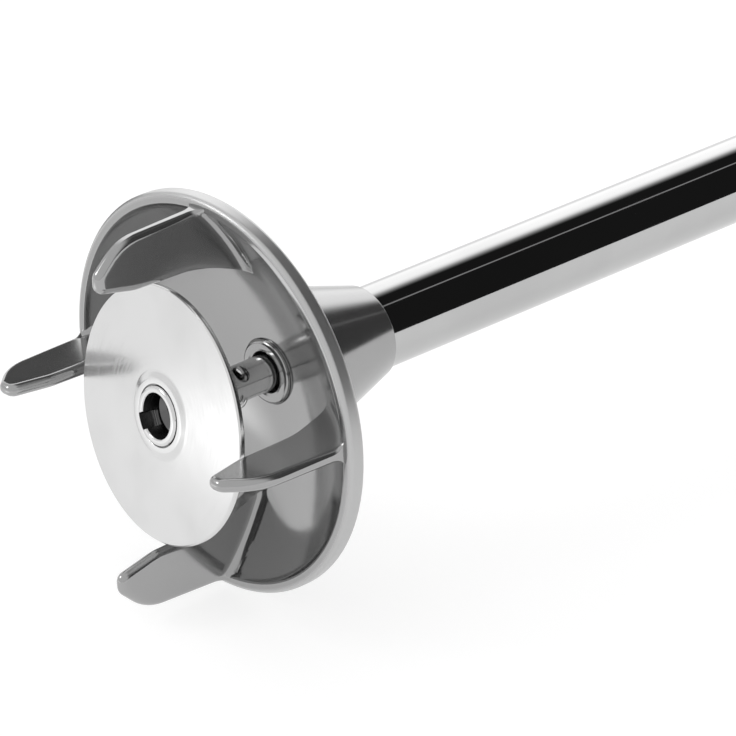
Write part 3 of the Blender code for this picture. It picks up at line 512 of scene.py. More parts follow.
def polished_steel(name, colour, roughness):
    look = Look(name, colour, roughness, 1.0)
    look.vary_roughness(look.noise(60, 6), 0.03)
    look.vary_colour(look.noise(35, 3, distortion=0.4), tuple(0.93 * c for c in colour), 0.45, 0.75)
    look.add_bump(look.noise(45, 2), 0.03 * MM, 0.35)
    return look.add_bump(look.noise(900, 4, (0.25, 1, 1)), 0.002 * MM, 0.5)


def turned_steel(name, colour, roughness):
    """Steel with the fine circular marks of a lathe or a polishing wheel."""
    look = Look(name, colour, roughness, 1.0)
    look.vary_roughness(look.turned_marks(1500), 0.05)
    look.vary_colour(look.noise(50, 3), tuple(0.92 * c for c in colour), 0.45, 0.75)
    return look.add_bump(look.turned_marks(2600), 0.004 * MM, 0.5)


def cast_metal(name, colour, roughness, grain):
    look = Look(name, colour, roughness, 1.0)
    look.vary_roughness(look.noise(420, 5), 0.05)
    look.vary_colour(look.noise(700, 5), tuple(0.88 * c for c in colour))
    return look.add_bump(look.noise(grain, 3), 0.05 * MM, 0.35)


def moulded_plastic(name, colour, roughness):
    """Spark-eroded texture: a fine pebbled grain, with rubbed and dulled patches."""
    look = Look(name, colour, roughness)
    look.vary_roughness(look.noise(55, 5), 0.08)
    look.vary_colour(look.noise(30, 4), tuple(0.86 * c for c in colour), 0.4, 0.8)
    return look.add_bump(look.noise(1600, 2), 0.05 * MM, 0.4)


def rubber():
    look = Look("black_rubber", (0.022, 0.022, 0.023), 0.62)
    look.vary_roughness(look.noise(70, 6), 0.1)
    look.vary_colour(look.noise(110, 5), grey(0.05), 0.5, 0.85)
    return look.add_bump(look.noise(1200, 3), 0.05 * MM, 0.5)


def wound_copper():
    """Enamelled wire laid side by side."""
    look = Look("copper", (0.50, 0.20, 0.09), 0.3, 1.0)
    wires = look.ridges("Z", distortion=0.6)
    look.vary_colour(wires, (0.72, 0.36, 0.18))
    look.vary_roughness(look.noise(90), 0.06)
    return look.add_bump(wires, 0.2 * MM, 0.8)


def lamination():
    """Stacked sheets of electrical steel, edge on."""
    look = Look("lamination", (0.22, 0.22, 0.23), 0.42, 1.0)
    sheets = look.ridges("X")
    look.vary_colour(sheets, (0.36, 0.35, 0.34))
    look.vary_roughness(look.noise(120), 0.08)
    return look.add_bump(sheets, 0.1 * MM, 0.6)


def circuit_board():
    """Solder resist over copper tracks."""
    look = Look("circuit_board", (0.012, 0.09, 0.035), 0.3)
    low, high, gap = ((*grey(level), 1.0) for level in (0.25, 0.6, 0.0))
    tracks = look.add("TexBrick", Scale=160.0, Color1=low, Color2=high, Mortar=gap, Vector=look.place)
    look.vary_colour(tracks.outputs["Color"], (0.02, 0.17, 0.07), 0.1, 0.6)
    look.vary_roughness(look.noise(80), 0.06)
    return look.add_bump(tracks.outputs["Fac"], 0.05 * MM, 0.5)


def make_looks():
    looks = {
        "bell": guard_steel(),
        "tube": polished_steel("tube_steel", grey(0.50), 0.05),
        "disc": turned_steel("disc_steel", grey(0.68), 0.2),
        "hub": turned_steel("hub_steel", grey(0.66), 0.14),
        # The shaft's steel is kept dark as painted shade, so its end deep in the hub's hole shows as shadow.
        "shaft": turned_steel("shaft_steel_dark_as_shade", grey(0.30), 0.2),
        # near-black steel for the inside of the hub's hole: painted shade
        "bore": turned_steel("bore_shade_steel", grey(0.14), 0.25),
        "machine": turned_steel("machine_steel", (0.50, 0.50, 0.51), 0.24),
        "aluminium": cast_metal("cast_aluminium", (0.60, 0.61, 0.62), 0.34, 900),
        "bronze": cast_metal("sintered_bronze", (0.48, 0.32, 0.15), 0.42, 1800),
        "brass": polished_steel("brass", (0.68, 0.48, 0.20), 0.26),
        "copper": wound_copper(),
        "lamination": lamination(),
        "carbon": cast_metal("pressed_carbon", grey(0.05), 0.55, 2500),
        "rubber": rubber(),
        "grey_plastic": moulded_plastic("grey_plastic", (0.42, 0.43, 0.44), 0.42),
        "dark_plastic": moulded_plastic("dark_plastic", (0.035, 0.036, 0.038), 0.4),
        "trigger_plastic": moulded_plastic("trigger_plastic", (0.36, 0.025, 0.02), 0.34),
        "board": circuit_board(),
    }
    return {name: look.material for name, look in looks.items()}


SLOT_LOOKS = {  # the look of a CAD node that is carried over, by its slot in the record
    "polished_steel": "bell",
    "satin_steel": "disc",
    "machine_steel": "machine",
    "cast_aluminium": "aluminium",
    "bronze": "bronze",
    "brass": "brass",
    "copper": "copper",
    "lamination": "lamination",
    "carbon": "carbon",
    "black_rubber": "rubber",
    "grey_plastic": "grey_plastic",
    "dark_plastic": "dark_plastic",
    "trigger_plastic": "trigger_plastic",
    "circuit_board": "board",
}


def dress_cad_nodes(looks):
    """Give every CAD node the look of its slot."""
    for part in frame["record"]["subparts"]:
        node = frame["nodes"][part["node"]]
        node.data.materials.clear()
        node.data.materials.append(looks[SLOT_LOOKS[part["material_slot"]]])


# ---------------------------------------------------------------- guard bell


def dish_x(radius, wall=0.0):
    """The x of the bell's hollow at this distance from the axis, or of a surface that far behind it."""
    return DISH_CENTRE_X + math.sqrt((DISH_RADIUS + wall) ** 2 - radius**2)


def bell_outline():
    """Round the bell's wall: rim, hollow, bores, cone and the back of the dish."""
    half = RIM_THICKNESS / 2
    lip, throat = 48.7 * MM, 8.8 * MM
    root, edge = 27.0 * MM, 50.5 * MM
    tube_bore = TUBE_RADIUS + GAP
    rim = [
        (half, edge),
        (half, RIM_RADIUS, 1.5 * MM),
        (-half, RIM_RADIUS, 1.5 * MM),
        (-half, 49.6 * MM, 0.8 * MM),
        (dish_x(lip), lip),
    ]
    hollow = [lip + (throat - lip) * step / 40 for step in range(1, 41)]
    bores = [(18.0 * MM, throat), mm(18.0, 8.3), mm(35.8, 8.3), (35.8 * MM, tube_bore)]
    cone = [
        (CONE_END_X, tube_bore),
        (CONE_END_X, 12.3 * MM, 0.7 * MM),
        mm(22.5, 20.3, 9.0),
        (dish_x(root, DISH_WALL), root),
    ]
    back = [root + (edge - root) * step / 16 for step in range(1, 17)]
    outline = rounded(rim, closed=False)
    outline += [(dish_x(radius), radius) for radius in hollow]
    outline += bores + rounded(cone, closed=False, steps=16)
    return outline + [(dish_x(radius, DISH_WALL), radius) for radius in back]


def resampled(line, count):
    """Points at even distances along the line."""
    lengths = [0.0]
    for first, second in zip(line, line[1:]):
        lengths.append(lengths[-1] + (Vector(second) - Vector(first)).length)
    points = []
    span = 0
    for step in range(count + 1):
        target = lengths[-1] * step / count
        while span < len(line) - 2 and lengths[span + 1] < target:
            span += 1
        share = (target - lengths[span]) / (lengths[span + 1] - lengths[span])
        points.append(Vector(line[span]).lerp(Vector(line[span + 1]), min(1.0, share)))
    return points


def distance_to(point, line):
    """The shortest distance from the point to the line of points."""
    best = math.inf
    for first, second in zip(line, line[1:]):
        along = second - first
        share = max(0.0, min(1.0, (point - first).dot(along) / along.length_squared))
        best = min(best, (point - first - along * share).length)
    return best


def fin_edges():
    """The outer and the inner edge of a guard finger, each from the dish to the middle of the tip."""
    outline = rounded([
        mm(-1.0, 50.8),
        mm(-28.0, 49.8, 14.0),
        (FIN_TIP_X, 42.6 * MM, 3.2 * MM),
        (FIN_TIP_X, 38.0 * MM, 2.6 * MM),
        mm(-24.0, 35.4, 14.0),
        mm(-5.0, 34.9, 22.0),
        mm(5.0, 30.8, 12.0),
        mm(13.9, 26.6),
    ], closed=False, steps=10)

    def from_tip(index):
        """Least at the middle of the tip: how far back the point is, then how far aside."""
        return round(outline[index].x, 6), abs(outline[index].y - FIN_TIP_R)

    tip = min(range(len(outline)), key=from_tip)
    return outline[: tip + 1], outline[tip:][::-1]


def fin_half_thickness(point, edge):
    """Half the finger's thickness at this (x, r): rounded along its edge, and flared into the dish."""
    inset = min(distance_to(point, edge), FIN_EDGE_RADIUS)
    body = FIN_HALF_THICKNESS * math.sqrt(1 - (1 - inset / FIN_EDGE_RADIUS) ** 2)
    clear = DISH_RADIUS - math.hypot(point.x - DISH_CENTRE_X, point.y)
    clear = min(max(clear, 0.03 * FIN_ROOT_FILLET), FIN_ROOT_FILLET)
    flare = FIN_ROOT_FILLET - math.sqrt(FIN_ROOT_FILLET**2 - (FIN_ROOT_FILLET - clear) ** 2)
    return body + flare


def fin_mesh():
    """Rows of points from the dish wall to the tip, each row running round the finger's section."""
    rows, columns = 64, 26
    outer, inner = fin_edges()
    edge = outer + inner[:-1][::-1]
    bm = bmesh.new()
    loops = []
    for row, (far, near) in enumerate(zip(resampled(outer, rows), resampled(inner, rows))):
        bend = (1 - row / rows) ** 4
        front, back = [], []
        for column in range(columns + 1):
            share = (1 - math.cos(math.pi * column / columns)) / 2
            point = far.lerp(near, share)
            wall = Vector((dish_x(point.y, DISH_WALL / 2), point.y))
            point = point.lerp(wall, bend)
            half = fin_half_thickness(point, edge)
            front.append(bm.verts.new((point.x, half, point.y)))
            back.append(bm.verts.new((point.x, -half, point.y)))
        loops.append(front + back[::-1])
    skin(bm, loops)
    bmesh.ops.remove_doubles(bm, verts=bm.verts, dist=0.02 * MM)
    return bm


def make_guard_bell(looks):
    """The bell and its guard fingers in one piece."""
    turns = [about_axis(FIN_START_ANGLE + math.tau * index / FIN_COUNT) for index in range(FIN_COUNT)]
    piece("guard", turned_mesh(bell_outline(), 160), looks["bell"], "guard_bell", "foot",
          joins=[repeated_mesh(fin_mesh, turns)])


# ---------------------------------------------------------------- foot


def make_foot(looks):
    """The bush round the shaft, the tube, and the fitting at the tube's upper end."""
    lip = [
        mm(17.2, 6.3, 0.2),
        mm(16.8, 5.5, 0.2),
        mm(15.6, 5.5, 0.3),
        mm(15.3, 6.4, 0.8),
        mm(15.3, 8.6, 1.1),
        mm(17.5, 8.6),
        mm(17.5, 8.0),
        mm(32.0, 8.0),
        mm(32.0, 6.3),
    ]
    piece("bush", turned_mesh(rounded(lip), 96), looks["bell"], "lower_bush", "foot")
    tube = [
        mm(36.5, 9.5),
        (36.5 * MM, TUBE_RADIUS, 0.3 * MM),
        (318.0 * MM, TUBE_RADIUS, 0.3 * MM),
        mm(318.0, 9.5),
    ]
    piece("tube", turned_mesh(rounded(tube), 160), looks["tube"], "outer_tube", "foot")
    bore = TUBE_RADIUS + GAP
    fitting = [
        (284.0 * MM, bore, 0.1 * MM),
        mm(284.0, 13.5, 1.2),
        mm(297.0, 14.0),
        mm(305.6, 14.0),
        mm(305.6, 19.2, 0.6),
        mm(311.0, 19.2, 0.6),
        mm(311.0, 15.8, 0.3),
        mm(319.0, 15.8, 0.1),
        mm(319.6, 14.9, 0.5),
        mm(322.4, 14.9, 0.5),
        mm(323.0, 15.8, 0.1),
        mm(335.0, 15.8, 1.2),
        mm(335.0, 12.6),
        mm(318.3, 12.6),
        (318.3 * MM, bore),
    ]
    piece("upper_fitting", turned_mesh(rounded(fitting, steps=5), 112), looks["aluminium"], "foot_fitting",
          "foot")


def make_lock_collar(looks):
    """A ring with flutes for the fingers."""
    outline = [
        mm(299.0, 14.4, 0.3),
        mm(299.0, 23.0, 2.2),
        mm(303.0, 26.0, 1.6),
        mm(326.0, 26.0, 1.4),
        mm(329.0, 24.0, 0.6),
        mm(329.0, 20.9),
        mm(305.2, 20.9),
        mm(305.2, 14.4),
    ]
    flutes = repeated_mesh(
        lambda: placed(rod_mesh(mm(306, 323), 2.6 * MM, 32, edge=1.5 * MM),
                       Matrix.Translation(mm(0, 0, 27.3))),
        evenly_round(12),
    )
    piece("collar", turned_mesh(rounded(outline, steps=6), 144), looks["dark_plastic"], "lock_collar",
          "lock_collar_ring", cuts=[flutes])


# ---------------------------------------------------------------- drive


def pin_placement():
    """Lay a piece that runs along X across the shaft at the cross pin's place."""
    return about_axis(PIN_ANGLE) @ Matrix.Translation((PIN_X, 0, 0)) @ Matrix.Rotation(math.pi / 2, 4, "Y")


def disc_placement():
    """The tilted disc's own frame: its centre on the axis, and its axis leaning with the front face."""
    lean = about_axis(DISC_TILT_ANGLE)
    return Matrix.Translation((DISC_X, 0, 0)) @ lean @ Matrix.Rotation(DISC_TILT, 4, "Y") @ lean.inverted()


def make_drive(looks):
    """The shaft, and the pieces that spin with it in the foot."""
    shaft = [
        mm(-14.0, 0),
        (-14.0 * MM, SPIGOT_RADIUS, 0.7 * MM),
        (SHAFT_STEP_X, SPIGOT_RADIUS),
        (SHAFT_STEP_X, SHAFT_RADIUS, 0.3 * MM),
        (318.0 * MM, SHAFT_RADIUS, 0.4 * MM),
        mm(318.0, 3.4),
        mm(325.0, 3.4, 0.5),
        mm(325.0, 0),
    ]
    hole = placed(rod_mesh(mm(-8, 8), PIN_RADIUS + 0.15 * MM), pin_placement())
    bm = turned_mesh(rounded(shaft, closed=False, steps=4), 80)
    piece("shaft", bm, looks["shaft"], "drive_shaft", "drive", cuts=[hole])
    make_cross_pin(looks)
    make_pin_clip(looks)
    make_mixing_disc(looks)
    make_disc_hub(looks)


def make_cross_pin(looks):
    """A pin with a ball on each end."""
    steps = 10
    start = math.asin(math.sqrt(1 - (PIN_RADIUS / PIN_BALL) ** 2))
    turns = [start + (math.pi / 2 - start) * step / steps for step in range(1, steps)]
    half = [(4.0 * MM, PIN_RADIUS)]
    half += [(PIN_REACH - PIN_BALL + PIN_BALL * math.sin(turn), PIN_BALL * math.cos(turn)) for turn in turns]
    half.append((PIN_REACH, 0))
    outline = [(-x, r) for x, r in reversed(half)] + half
    bm = placed(turned_mesh(outline, 48), pin_placement())
    piece("ball_pin", bm, looks["hub"], "cross_pin", "drive")


def make_pin_clip(looks):
    """A spring wire wrapped round the sleeve, with round ends."""
    wire = 0.5 * MM
    reach = SHAFT_RADIUS + GAP + wire
    sweep = math.radians(250)
    steps, end_steps, sides = 90, 4, 16
    turns = [math.tau * side / sides for side in range(sides)]
    bm = bmesh.new()
    loops = []
    for step in range(steps + 1):
        place = about_axis(CLIP_ANGLE - sweep * step / steps) @ Matrix.Translation((CLIP_X, 0, reach))
        share = min(1.0, min(step, steps - step) / end_steps)
        size = wire * max(0.1, math.sqrt(1 - (1 - share) ** 2))
        ring = [Vector((size * math.cos(turn), 0, size * math.sin(turn))) for turn in turns]
        loops.append([bm.verts.new(place @ point) for point in ring])
    skin(bm, loops)
    piece("spring_clip", bm, looks["hub"], "pin_clip", "drive")


def make_mixing_disc(looks):
    """A thin plate with a soft boss round the hub."""
    rise = 0.7 * MM
    plate = [
        (-rise, HUB_RADIUS + GAP, 0.2 * MM),
        (-rise, 9.6 * MM, 1.6 * MM),
        mm(0, 11.2, 2.4),
        (0, DISC_RADIUS, 0.5 * MM),
        (DISC_THICKNESS, DISC_RADIUS, 0.4 * MM),
        (DISC_THICKNESS, HUB_RADIUS + GAP, 0.2 * MM),
    ]
    bm = placed(turned_mesh(rounded(plate), 224), disc_placement())
    piece("disc", bm, looks["disc"], "mixing_disc", "drive")


def make_disc_hub(looks):
    """A ring through the disc, and a sleeve along the shaft back to the bush."""
    collar = [
        (-1.3 * MM, HUB_BORE, 0.5 * MM),
        (-1.3 * MM, HUB_RADIUS, 0.8 * MM),
        (DISC_THICKNESS + 4.0 * MM, HUB_RADIUS, 0.6 * MM),
        (DISC_THICKNESS + 4.0 * MM, HUB_BORE),
    ]
    sleeve = [
        (-12.9 * MM, SPIGOT_RADIUS + GAP),
        (-15.2 * MM, HUB_BORE + 0.9 * MM),
        (-13.0 * MM, HUB_BORE + 0.9 * MM),
        (-12.0 * MM, SHAFT_RADIUS),
        (SHAFT_STEP_X - GAP, SHAFT_RADIUS, 0.3 * MM),
        (SHAFT_STEP_X - GAP, SPIGOT_RADIUS + GAP),
    ]
    slot = placed(box_mesh(mm(-3, -2.2, 0), mm(3.5, 2.2, 7.1), 0.4 * MM),
                  disc_placement() @ about_axis(KEYWAY_ANGLE))
    windows = [placed(rod_mesh(mm(-8, 8), 2.0 * MM), about_axis(turn) @ pin_placement())
               for turn in (0, WINDOW_ANGLE - PIN_ANGLE)]
    bm = placed(turned_mesh(rounded(collar), 112), disc_placement())
    hub = piece("hub", bm, looks["hub"], "disc_hub", "drive",
                joins=[turned_mesh(rounded(sleeve), 80)], cuts=[slot, *windows])
    # the hole's inward faces get the near-black steel as painted shade
    paint_bore_shade(hub, looks["bore"])


def paint_bore_shade(hub, finish):
    """Give the faces that look inwards, in the front of the hub, a near-black steel of their own: painted
    shade in the hole.
    """
    hub.data.materials.append(finish)
    into_disc = disc_placement().inverted()
    for face in hub.data.polygons:
        place = into_disc @ face.center
        faces_in = (into_disc.to_3x3() @ face.normal).dot(Vector((0, place.y, place.z))) < 0
        if faces_in and -MM < place.x < 6 * MM:
            face.material_index = 1


# ---------------------------------------------------------------- housing


def housing_between(x):
    """Half width, half height and corner radius of the housing at x, straight between the stations."""
    x = min(max(x, SHELL_X), SHELL_END_X)
    for first, second in zip(HOUSING_STATIONS, HOUSING_STATIONS[1:]):
        if x <= second[0]:
            blend = (x - first[0]) / (second[0] - first[0])
            return Vector(first[1:]).lerp(Vector(second[1:]), blend)
    raise ValueError(f"no housing at x = {x}")


def housing_at(x):
    """The same with the corners between the stations rounded off. The two ends stay as they are."""
    reach = min(SHELL_BLEND, x - SHELL_X, SHELL_END_X - x)
    samples = 9
    total = Vector((0, 0, 0))
    for index in range(samples):
        total += housing_between(x + reach * (2 * index / (samples - 1) - 1))
    return total / samples


def shell_section(x, side, wall=SHELL_WALL):
    """Half of the housing's wall, on the side of +Y or -Y, as a closed C with its seam edges eased."""
    half_y, half_z, corner = housing_at(x)
    seam = GAP / 2
    steps = 12

    def half_loop(shrink, start):
        y, z, turn = half_y - shrink, half_z - shrink, corner - shrink
        return rounded([(start, z), (y, z, turn), (y, -z, turn), (start, -z)], closed=False, steps=steps)

    outer = half_loop(0, seam + SEAM_EASE)
    inner = half_loop(wall, seam)
    lip = half_z - SEAM_EASE
    loop = [(seam, lip), *outer, (seam, -lip), *inner[::-1]]
    return [(side * y, z) for y, z in loop]


def wall_y(x, z):
    """How far out the middle of the housing's side wall stands at this x and z."""
    half_y, half_z, corner = housing_at(x)
    into_corner = max(0.0, abs(z) - (half_z - corner))
    return half_y - corner + math.sqrt(corner**2 - into_corner**2) - SHELL_WALL / 2


def rods_across(ys_at, radius):
    """One rod along Y at each screw, between the two y that ys_at(x, z) gives."""
    bm = bmesh.new()
    for x, z in SCREW_PLACES:
        add_to(bm, placed(rod_mesh(ys_at(x, z), radius, 40), across(x, z)))
    return bm


def slot_outline(half_x, half_z, corner):
    corners = [(-half_x, -half_z), (-half_x, half_z), (half_x, half_z), (half_x, -half_z)]
    return rounded([(*point, corner) for point in corners])


def vent_mesh():
    """Slots with round ends through both sides of the housing, in two groups."""
    xs = [first + VENT_PITCH * index for first, count in VENT_GROUPS for index in range(count)]
    return repeated_mesh(
        lambda: prism_mesh(slot_outline(1.6 * MM, 17 * MM, 1.55 * MM), 60 * MM),
        [Matrix.Translation((x, 0, 0)) for x in xs],
    )


def vent_field_mesh(side):
    """The shallow fields round the groups of vents, to cut from one side."""
    depth = 0.7 * MM
    bm = bmesh.new()
    for first, count in VENT_GROUPS:
        half_x = VENT_PITCH * count / 2 + MM
        middle = first + VENT_PITCH * (count - 1) / 2
        field = prism_mesh(slot_outline(half_x, 20.5 * MM, 3.5 * MM), 5 * MM)
        add_to(bm, placed(field, Matrix.Translation((middle, side * (SHELL_HALF - depth + 5 * MM), 0))))
    return bm


def tick_mesh():
    """Short marks round the dial, one longer at the start, the middle and the end of its travel."""
    bm = bmesh.new()
    count = 9
    for index in range(count):
        turn = math.radians(135 - 270 * index / (count - 1))
        length = 3.2 * MM if index % 4 == 0 else 2.0 * MM
        tick = box_mesh(mm(13.2, -0.35, -0.35), (13.2 * MM + length, 0.35 * MM, 2 * MM))
        add_to(bm, placed(tick, Matrix.Translation((DIAL_X, 0, SHELL_HALF)) @ Matrix.Rotation(turn, 4, "Z")))
    return bm


def shell_cuts(side):
    """The openings of the shell on the side of +Y or -Y."""
    slot = prism_mesh(
        slot_outline(TRIGGER_LENGTH / 2 + 2.6 * MM, 12 * MM, 0.8 * MM),
        TRIGGER_HALF_WIDTH + 0.5 * MM,
        bevel=0.3 * MM,
    )
    cuts = [
        vent_mesh(),
        vent_field_mesh(side),
        placed(slot, Matrix.Translation((TRIGGER_X - 1.8 * MM + TRIGGER_LENGTH / 2, 0, 28 * MM))),
        placed(rod_mesh(mm(40, 60), 3.6 * MM), upright(DIAL_X, 0)),
        placed(rod_mesh(mm(-10.8, 10.8), 1.8 * MM), across(TRIGGER_X, TRIGGER_Z)),
        tick_mesh(),
    ]
    if side > 0:
        cuts.append(rods_across(lambda x, z: mm(-1, 11), 1.5 * MM))
    else:
        cuts.append(rods_across(lambda x, z: mm(-12, 1), 1.8 * MM))
        cuts.append(rods_across(lambda x, z: mm(-60, -8), 3.3 * MM))
        cuts.append(placed(rod_mesh(mm(-30, -15), 5.9 * MM), across(BUTTON_X, BUTTON_Z)))
    return cuts


def make_shells(looks):
    """Two moulded halves with bosses for the screws."""
    front_end = SHELL_X + SHELL_FRONT_DEPTH
    rear_xs = [front_end + GAP + (SHELL_END_X - front_end - GAP) * step / 142 for step in range(143)]
    boss = 4.6 * MM
    for name, side in (("left", 1), ("right", -1)):
        bosses = rods_across(lambda x, z: sorted((side * GAP / 2, side * wall_y(x, abs(z) + boss))), boss)
        stations = [(x, shell_section(x, side, SHELL_FRONT_WALL)) for x in (SHELL_X, front_end)]
        stations += [(x, shell_section(x, side)) for x in rear_xs]
        piece(f"shell_{name}", loft_mesh(stations), looks["grey_plastic"], f"housing_shell_{name}",
              "motor_unit", joins=[bosses], cuts=shell_cuts(side))


def make_shell_screws(looks):
    """Pan heads with a cross recess, deep in their wells."""
    head = -10.4 * MM
    outline = [(head, 0), (head, 2.9 * MM, 0.5 * MM), mm(-8.3, 2.9), mm(-8.3, 1.2),
               mm(9.5, 1.2), mm(10.5, 0)]
    for index, place in enumerate(SCREW_PLACES, start=1):
        recess = [
            placed(box_mesh((head - MM, -0.45 * MM, -1.9 * MM), (head + 1.1 * MM, 0.45 * MM, 1.9 * MM)),
                   across(*place) @ about_axis(turn))
            for turn in (0.4, 0.4 + math.pi / 2)
        ]
        bm = placed(turned_mesh(rounded(outline, closed=False, steps=4), 40), across(*place))
        piece(f"screw_{index}", bm, looks["machine"], f"shell_screw_{index}", "motor_unit",
              cuts=recess)


def make_bumpers(looks):
    """Rubber bands with two grooves along them."""
    width, depth = 1.0 * MM, 0.5 * MM
    for name, start in (("front", 361 * MM), ("rear", 493 * MM)):
        profile = [mm(0, 0.7), mm(0.2, 0.25), mm(0.8, 0)]
        for middle in (BUMPER_WIDTH / 3, BUMPER_WIDTH * 2 / 3):
            profile += [(middle - width, 0), (middle - width / 2, depth), (middle + width / 2, depth),
                        (middle + width, 0)]
        profile += [(BUMPER_WIDTH - x, inset) for x, inset in reversed(profile[:3])]
        stations = [(start + x, section(RIM_RADIUS - inset, RIM_RADIUS - inset, 25 * MM - inset, steps=20))
                    for x, inset in profile]
        inner = section(SHELL_HALF + GAP, SHELL_HALF + GAP, 24 * MM, steps=20)
        hole = loft_mesh([(start - MM, inner), (start + BUMPER_WIDTH + MM, inner)])
        piece(f"bumper_{name}", loft_mesh(stations), looks["rubber"], f"{name}_bumper", "motor_unit",
              cuts=[hole])


def make_motor_nose(looks):
    """The cast front of the motor unit, from the foot's socket to the shells."""
    end = SHELL_X - GAP
    outline = [
        mm(311.3, 16.2, 0.3),
        mm(311.3, 20.4, 0.5),
        mm(331.0, 20.4, 0.4),
        mm(331.0, 27.0, 1.5),
        mm(342.0, 40.0, 12.0),
        mm(345.0, 46.0, 2.0),
        mm(347.6, 46.0, 0.2),
        mm(347.9, 45.4, 0.2),
        mm(348.8, 45.4, 0.2),
        mm(349.1, 46.0, 0.2),
        (end, 46.0 * MM, 0.6 * MM),
        (end, 36.0 * MM),
        mm(348.6, 15.3),
        mm(338.6, 15.3),
        mm(338.6, 13.0),
        mm(336.8, 13.0),
        mm(335.8, 16.2),
    ]
    piece("nose", turned_mesh(rounded(outline), 160), looks["aluminium"], "motor_nose", "motor_unit")


def make_end_cap(looks):
    """A plug in the shells' rear end, with a domed face."""
    start = SHELL_END_X + GAP
    edge_steps = 8
    turns = [math.pi / 2 * step / edge_steps for step in range(1, edge_steps + 1)]
    dome = [mm(0, 0.5), mm(0.4, 0.0), mm(3.4, 0.0)]
    dome += [mm(3.4 + 4.1 * math.sin(turn), 4.0 * (1 - math.cos(turn))) for turn in turns]
    stations = [
        (start + x, section(27 * MM - inset, 25.5 * MM - inset, 20 * MM - inset))
        for x, inset in dome
    ]
    plug = section(22.4 * MM, 20.9 * MM, 16 * MM)
    piece("cap", loft_mesh(stations), looks["dark_plastic"], "end_cap", "motor_unit",
          joins=[loft_mesh([(start - 6 * MM, plug), (start + MM, plug)])],
          cuts=[rod_mesh((start - 10 * MM, start + 12 * MM), 7.4 * MM, 96)])


def make_cord_gland(looks):
    """A rubber outlet with rings along its neck."""
    start = SHELL_END_X + GAP
    bore = 4.2 * MM
    outline = [
        (start - 4 * MM, bore),
        (start - 4 * MM, 7.1 * MM, 0.3 * MM),
        (start + 7.8 * MM, 7.1 * MM),
        (start + 7.8 * MM, 10.0 * MM, 0.8 * MM),
        (start + 10.6 * MM, 9.9 * MM, 0.4 * MM),
        (start + 10.9 * MM, 8.8 * MM, 0.3 * MM),
        (start + 11.7 * MM, 8.8 * MM, 0.3 * MM),
        (start + 12.0 * MM, 9.6 * MM, 0.4 * MM),
        (start + 13.2 * MM, 9.0 * MM, 0.4 * MM),
        (start + 13.5 * MM, 7.9 * MM, 0.3 * MM),
        (start + 14.2 * MM, 7.9 * MM, 0.3 * MM),
        (start + 14.5 * MM, 8.2 * MM, 0.4 * MM),
        mm(657.0, 7.2, 0.9),
        (657.0 * MM, bore, 0.5 * MM),
    ]
    piece("gland", turned_mesh(rounded(outline, steps=5), 96), looks["rubber"], "cord_gland", "motor_unit")


# ---------------------------------------------------------------- controls


def make_trigger(looks):
    """A paddle with a ribbed place for the finger."""
    length = TRIGGER_LENGTH
    side = [
        mm(-3.6, -2.6, 1.4),
        mm(-3.6, 2.6, 1.6),
        mm(6.0, 8.0, 6.0),
        (length - 6 * MM, 10.5 * MM, 5.0 * MM),
        (length, 6.0 * MM, 2.0 * MM),
        (length, -2.6 * MM, 1.4 * MM),
        (PLUNGER_REACH + 4 * MM, -4.2 * MM),
        (PLUNGER_REACH - 4 * MM, -4.2 * MM),
        (PLUNGER_REACH - 6 * MM, -2.6 * MM),
    ]
    ribs = 6
    first, last = Vector(mm(12, 8.5)), Vector(mm(31, 10.08))
    groove = 0.9 * MM
    places = [first.lerp(last, index / (ribs - 1)) for index in range(ribs)]
    grooves = repeated_mesh(
        lambda: rod_mesh(mm(-5.4, 5.4), groove, 32, edge=0.85 * MM),
        [Matrix.Translation(mm(0, 0, 0.35)) @ across(place.x, place.y) for place in places],
    )
    turn_in = Matrix.Translation((TRIGGER_X, 0, TRIGGER_Z))
    bm = placed(prism_mesh(rounded(side, steps=10), TRIGGER_HALF_WIDTH, bevel=1.1 * MM), turn_in)
    hole = placed(rod_mesh(mm(-12, 12), 1.8 * MM), turn_in @ across(0, 0))
    piece("paddle", bm, looks["trigger_plastic"], "trigger", "trigger_paddle",
          cuts=[hole, placed(grooves, turn_in)])


def make_lock_button(looks):
    """A round button with a hollowed face for the thumb."""
    face = -27.0 * MM
    hollow = 0.5 * MM
    outline = [
        (face + hollow, 0),
        (face + 0.8 * hollow, 2.2 * MM),
        (face, 4.4 * MM, 0.4 * MM),
        (face, 5.5 * MM, 0.7 * MM),
        mm(-20.6, 5.5),
        mm(-20.6, 7.5),
        mm(-18.8, 7.5),
        mm(-18.8, 3.0),
        mm(-11.0, 3.0),
        mm(-11.0, 0),
    ]
    bm = placed(turned_mesh(rounded(outline, closed=False), 80), across(BUTTON_X, BUTTON_Z))
    piece("button", bm, looks["dark_plastic"], "lock_button", "lock_button_stem")


